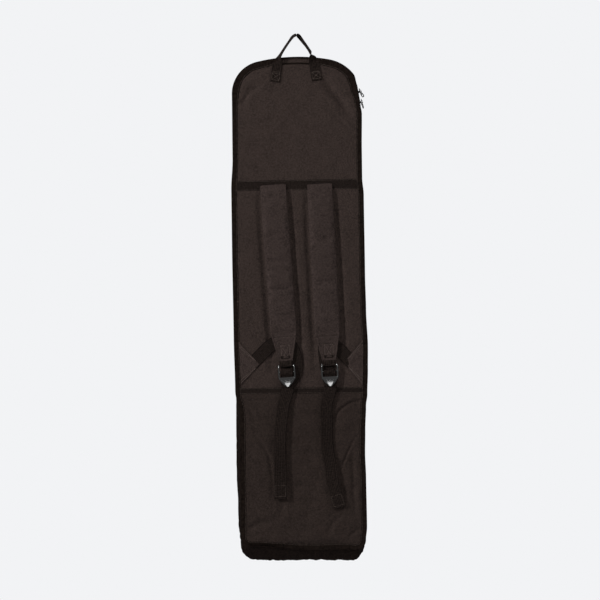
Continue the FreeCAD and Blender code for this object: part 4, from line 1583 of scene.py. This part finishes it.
def wingPlate(x, thickness):
    # a shield-shaped plate, broad where the two halves of the zip part
    length, width, _ = sliders["wing"]
    bm = bmesh.new()
    size = Matrix.Diagonal((thickness, width, length, 1.0))
    bmesh.ops.create_cube(bm, size=1.0, matrix=Matrix.Translation((x, 0.0, 0.0)) @ size)
    for vert in bm.verts:
        if vert.co.z < 0:
            vert.co.y *= 0.72
    upright = [e for e in bm.edges if abs(e.verts[0].co.x - e.verts[1].co.x) > 0.1]
    bmesh.ops.bevel(
        bm, geom=upright, offset=2.6, offset_type="OFFSET", segments=4, profile=0.5, affect="EDGES", material=-1
    )
    rim = [e for e in bm.edges if abs(e.verts[0].co.x - e.verts[1].co.x) < 0.01]
    bmesh.ops.bevel(
        bm, geom=rim, offset=0.35, offset_type="OFFSET", segments=2, profile=0.5, affect="EDGES", material=-1
    )
    return bm


def joinInto(bm, part):
    mesh = bpy.data.meshes.new("part")
    part.to_mesh(mesh)
    part.free()
    bm.from_mesh(mesh)
    bpy.data.meshes.remove(mesh)


def makeSlider(name, place):
    bm = bmesh.new()
    thick = sliders["wing"][2]
    joinInto(bm, wingPlate(sliders["outerWing"], thick))
    joinInto(bm, wingPlate(sliders["innerWing"], thick * 0.8))
    post = bmesh.new()
    size = Matrix.Diagonal((6.0, 1.3, 6.0, 1.0))
    bmesh.ops.create_cube(post, size=1.0, matrix=Matrix.Translation((-0.8, 0.0, 0.0)) @ size)
    joinInto(bm, post)
    half, rise, wide, bar = sliders["bridge"]
    frames = []
    for i in range(17):
        angle = math.pi * i / 16
        out = Vector((math.sin(angle), 0.0, math.cos(angle)))
        lift = sliders["outerWing"] + 0.6
        centre = Vector((lift + (rise - 0.6) * math.sin(angle) ** 0.7, 0.0, (half - 0.8) * math.cos(angle)))
        frames.append((centre, Vector((0.0, 1.0, 0.0)), out))
    joinInto(bm, tubeMesh(frames, roundSection(wide, bar, 0.5)))
    bmesh.ops.transform(bm, matrix=place, verts=bm.verts)
    newPiece(name + "_casting", bm, name, "zipMetal", [name], 50.0)


def makePuller(name, place, spin):
    # a short link on the slider's pin, and an open ring that hangs from it and turns on it
    length, width, thick, tilt = sliders["puller"]
    bm = bmesh.new()
    half = (width - thick) / 2
    link = [Vector((0.0, y, z)) for y, z in evenly([(half, 0.4), (half, -3.0), (1.2, -5.4), (-1.2, -5.4), (-half, -3.0), (-half, 0.4)], 30)]
    joinInto(bm, tubeMesh(bendFrames(link, Vector((1.0, 0.0, 0.0))), roundSection(thick, thick, 0.5)))
    pin = [
        (Vector((0.0, half * (i / 4 - 1.0), 0.0)), Vector((1.0, 0.0, 0.0)), Vector((0.0, 0.0, 1.0))) for i in range(9)
    ]
    joinInto(bm, tubeMesh(pin, roundSection(thick * 0.95, thick, 0.6)))
    top, low = -5.6, -(length - thick / 2)
    outline = []
    for i in range(49):
        angle = 2 * math.pi * i / 48
        narrow = 0.72 if math.sin(angle) > 0 else 1.0
        outline.append((
            half * narrow * math.copysign(abs(math.cos(angle)) ** 0.7, math.cos(angle)),
            (top + low) / 2 + (top - low) / 2 * math.sin(angle),
        ))
    ring = [Vector((0.0, y, z)) for y, z in evenly(outline, 56)][:-1]
    frames = []
    for i, point in enumerate(ring):
        ahead = (ring[(i + 1) % len(ring)] - ring[i - 1]).normalized()
        frames.append((point, Vector((1.0, 0.0, 0.0)), Vector((1.0, 0.0, 0.0)).cross(ahead).normalized()))
    hoop = tubeMesh(frames + frames[:1], roundSection(thick * 1.5, thick * 1.5, 0.9))
    bmesh.ops.rotate(hoop, verts=hoop.verts, matrix=Matrix.Rotation(math.radians(spin), 3, "Z"))
    joinInto(bm, hoop)
    swing = Matrix.Translation((sliders["pin"], 0.0, 0.0)) @ Matrix.Rotation(math.radians(-tilt), 4, "Y")
    bmesh.ops.transform(bm, matrix=place @ swing, verts=bm.verts)
    newPiece(name + "_ring", bm, name, "zipMetal", [name], 50.0)


def makeSliders():
    half = shell["halfWidth"]
    cornerX, cornerZ, _ = cornerCentre(shell["rightRadius"])
    lower = Matrix.Translation((half - sliders["inset"], sliders["depth"], sliders["lowerHeight"]))
    turn = Matrix.Rotation(math.radians(-sliders["upperTurn"]), 4, "Y")
    centre = Matrix.Translation((cornerX, sliders["depth"], cornerZ))
    upper = centre @ turn @ Matrix.Translation((half - sliders["inset"] - cornerX, 0.0, 0.0))
    flip = Matrix.Rotation(math.pi, 4, "X")
    makeSlider("upper_slider", upper)
    makeSlider("lower_slider", lower @ flip)
    makePuller("upper_puller", upper, 64.0)
    makePuller("lower_puller", lower, -20.0)


makeSliders()
print("sliders done")

camera = {"place": (0.0007, -4.975, -0.7926), "roll": -0.75, "lens": 100.0}


def makeCamera():
    data = bpy.data.cameras.new("camera")
    data.lens = camera["lens"]
    data.sensor_width = 36.0
    obj = bpy.data.objects.new("camera", data)
    turn = Matrix.Rotation(math.radians(90.0), 4, "X") @ Matrix.Rotation(math.radians(camera["roll"]), 4, "Z")
    obj.matrix_world = Matrix.Translation(camera["place"]) @ turn
    scene.collection.objects.link(obj)
    scene.camera = obj


studio = {
    # name: place, size in metres and power in watts
    "key": ((-3.3, -2.3, 0.7), 0.4, 168.0),
    "side": ((3.3, -2.3, 0.0), 0.9, 40.0),
    "top": ((0.0, -3.0, 0.5), 0.7, 24.0),
    "back": ((0.6, 2.9, 0.2), 1.6, 110.0),
    "world": 0.06,
    "backdrop": "#f2f3f5",
    "aim": (0.0, 0.0, -0.8),
}


def makeLight():
    for name in ("key", "side", "top", "back"):
        place, size, power = studio[name]
        data = bpy.data.lights.new(name, "AREA")
        data.shape = "DISK"
        data.size = size
        data.energy = power
        obj = bpy.data.objects.new(name, data)
        obj.location = place
        aim = Vector(studio["aim"]) - Vector(place)
        obj.rotation_euler = aim.to_track_quat("-Z", "Y").to_euler()
        scene.collection.objects.link(obj)
    world = bpy.data.worlds.new("studio")
    scene.world = world
    world.use_nodes = True
    tree = world.node_tree
    tree.nodes.clear()
    path = addNode(tree, "ShaderNodeLightPath")
    clear = addNode(tree, "ShaderNodeMath", {"operation": "MAXIMUM"}, {
        0: path.outputs["Is Glossy Ray"], 1: path.outputs["Is Transmission Ray"]})
    seen = addNode(tree, "ShaderNodeMath", {"operation": "MAXIMUM"}, {
        0: path.outputs["Is Camera Ray"], 1: clear.outputs[0]})
    plain = addNode(tree, "ShaderNodeBackground", {"Color": (1, 1, 1, 1), "Strength": studio["world"]})
    pale = addNode(tree, "ShaderNodeBackground", {"Color": linear(studio["backdrop"]), "Strength": 1.0})
    mix = addNode(tree, "ShaderNodeMixShader", None, {
        0: seen.outputs[0], 1: plain.outputs[0], 2: pale.outputs[0]})
    addNode(tree, "ShaderNodeOutputWorld", None, {0: mix.outputs[0]})


floor = {"radius": 1200.0, "height": -2100.0}


def makeFloor():
    bm = bmesh.new()
    bmesh.ops.create_circle(
        bm, cap_ends=True, segments=96, radius=floor["radius"], matrix=Matrix.Translation((0, 0, floor["height"]))
    )
    bmesh.ops.scale(bm, vec=(mm, mm, mm), verts=bm.verts)
    mesh = bpy.data.meshes.new("floor")
    bm.to_mesh(mesh)
    bm.free()
    material, tree, shader = startMaterial("pale_floor", {"Roughness": 0.9})
    shader.inputs["Base Color"].default_value = linear("#e9eaec")
    mesh.materials.append(material)
    obj = bpy.data.objects.new("floor", mesh)
    scene.collection.objects.link(obj)


makeCamera()
makeLight()
makeFloor()
print("camera, light and floor done")
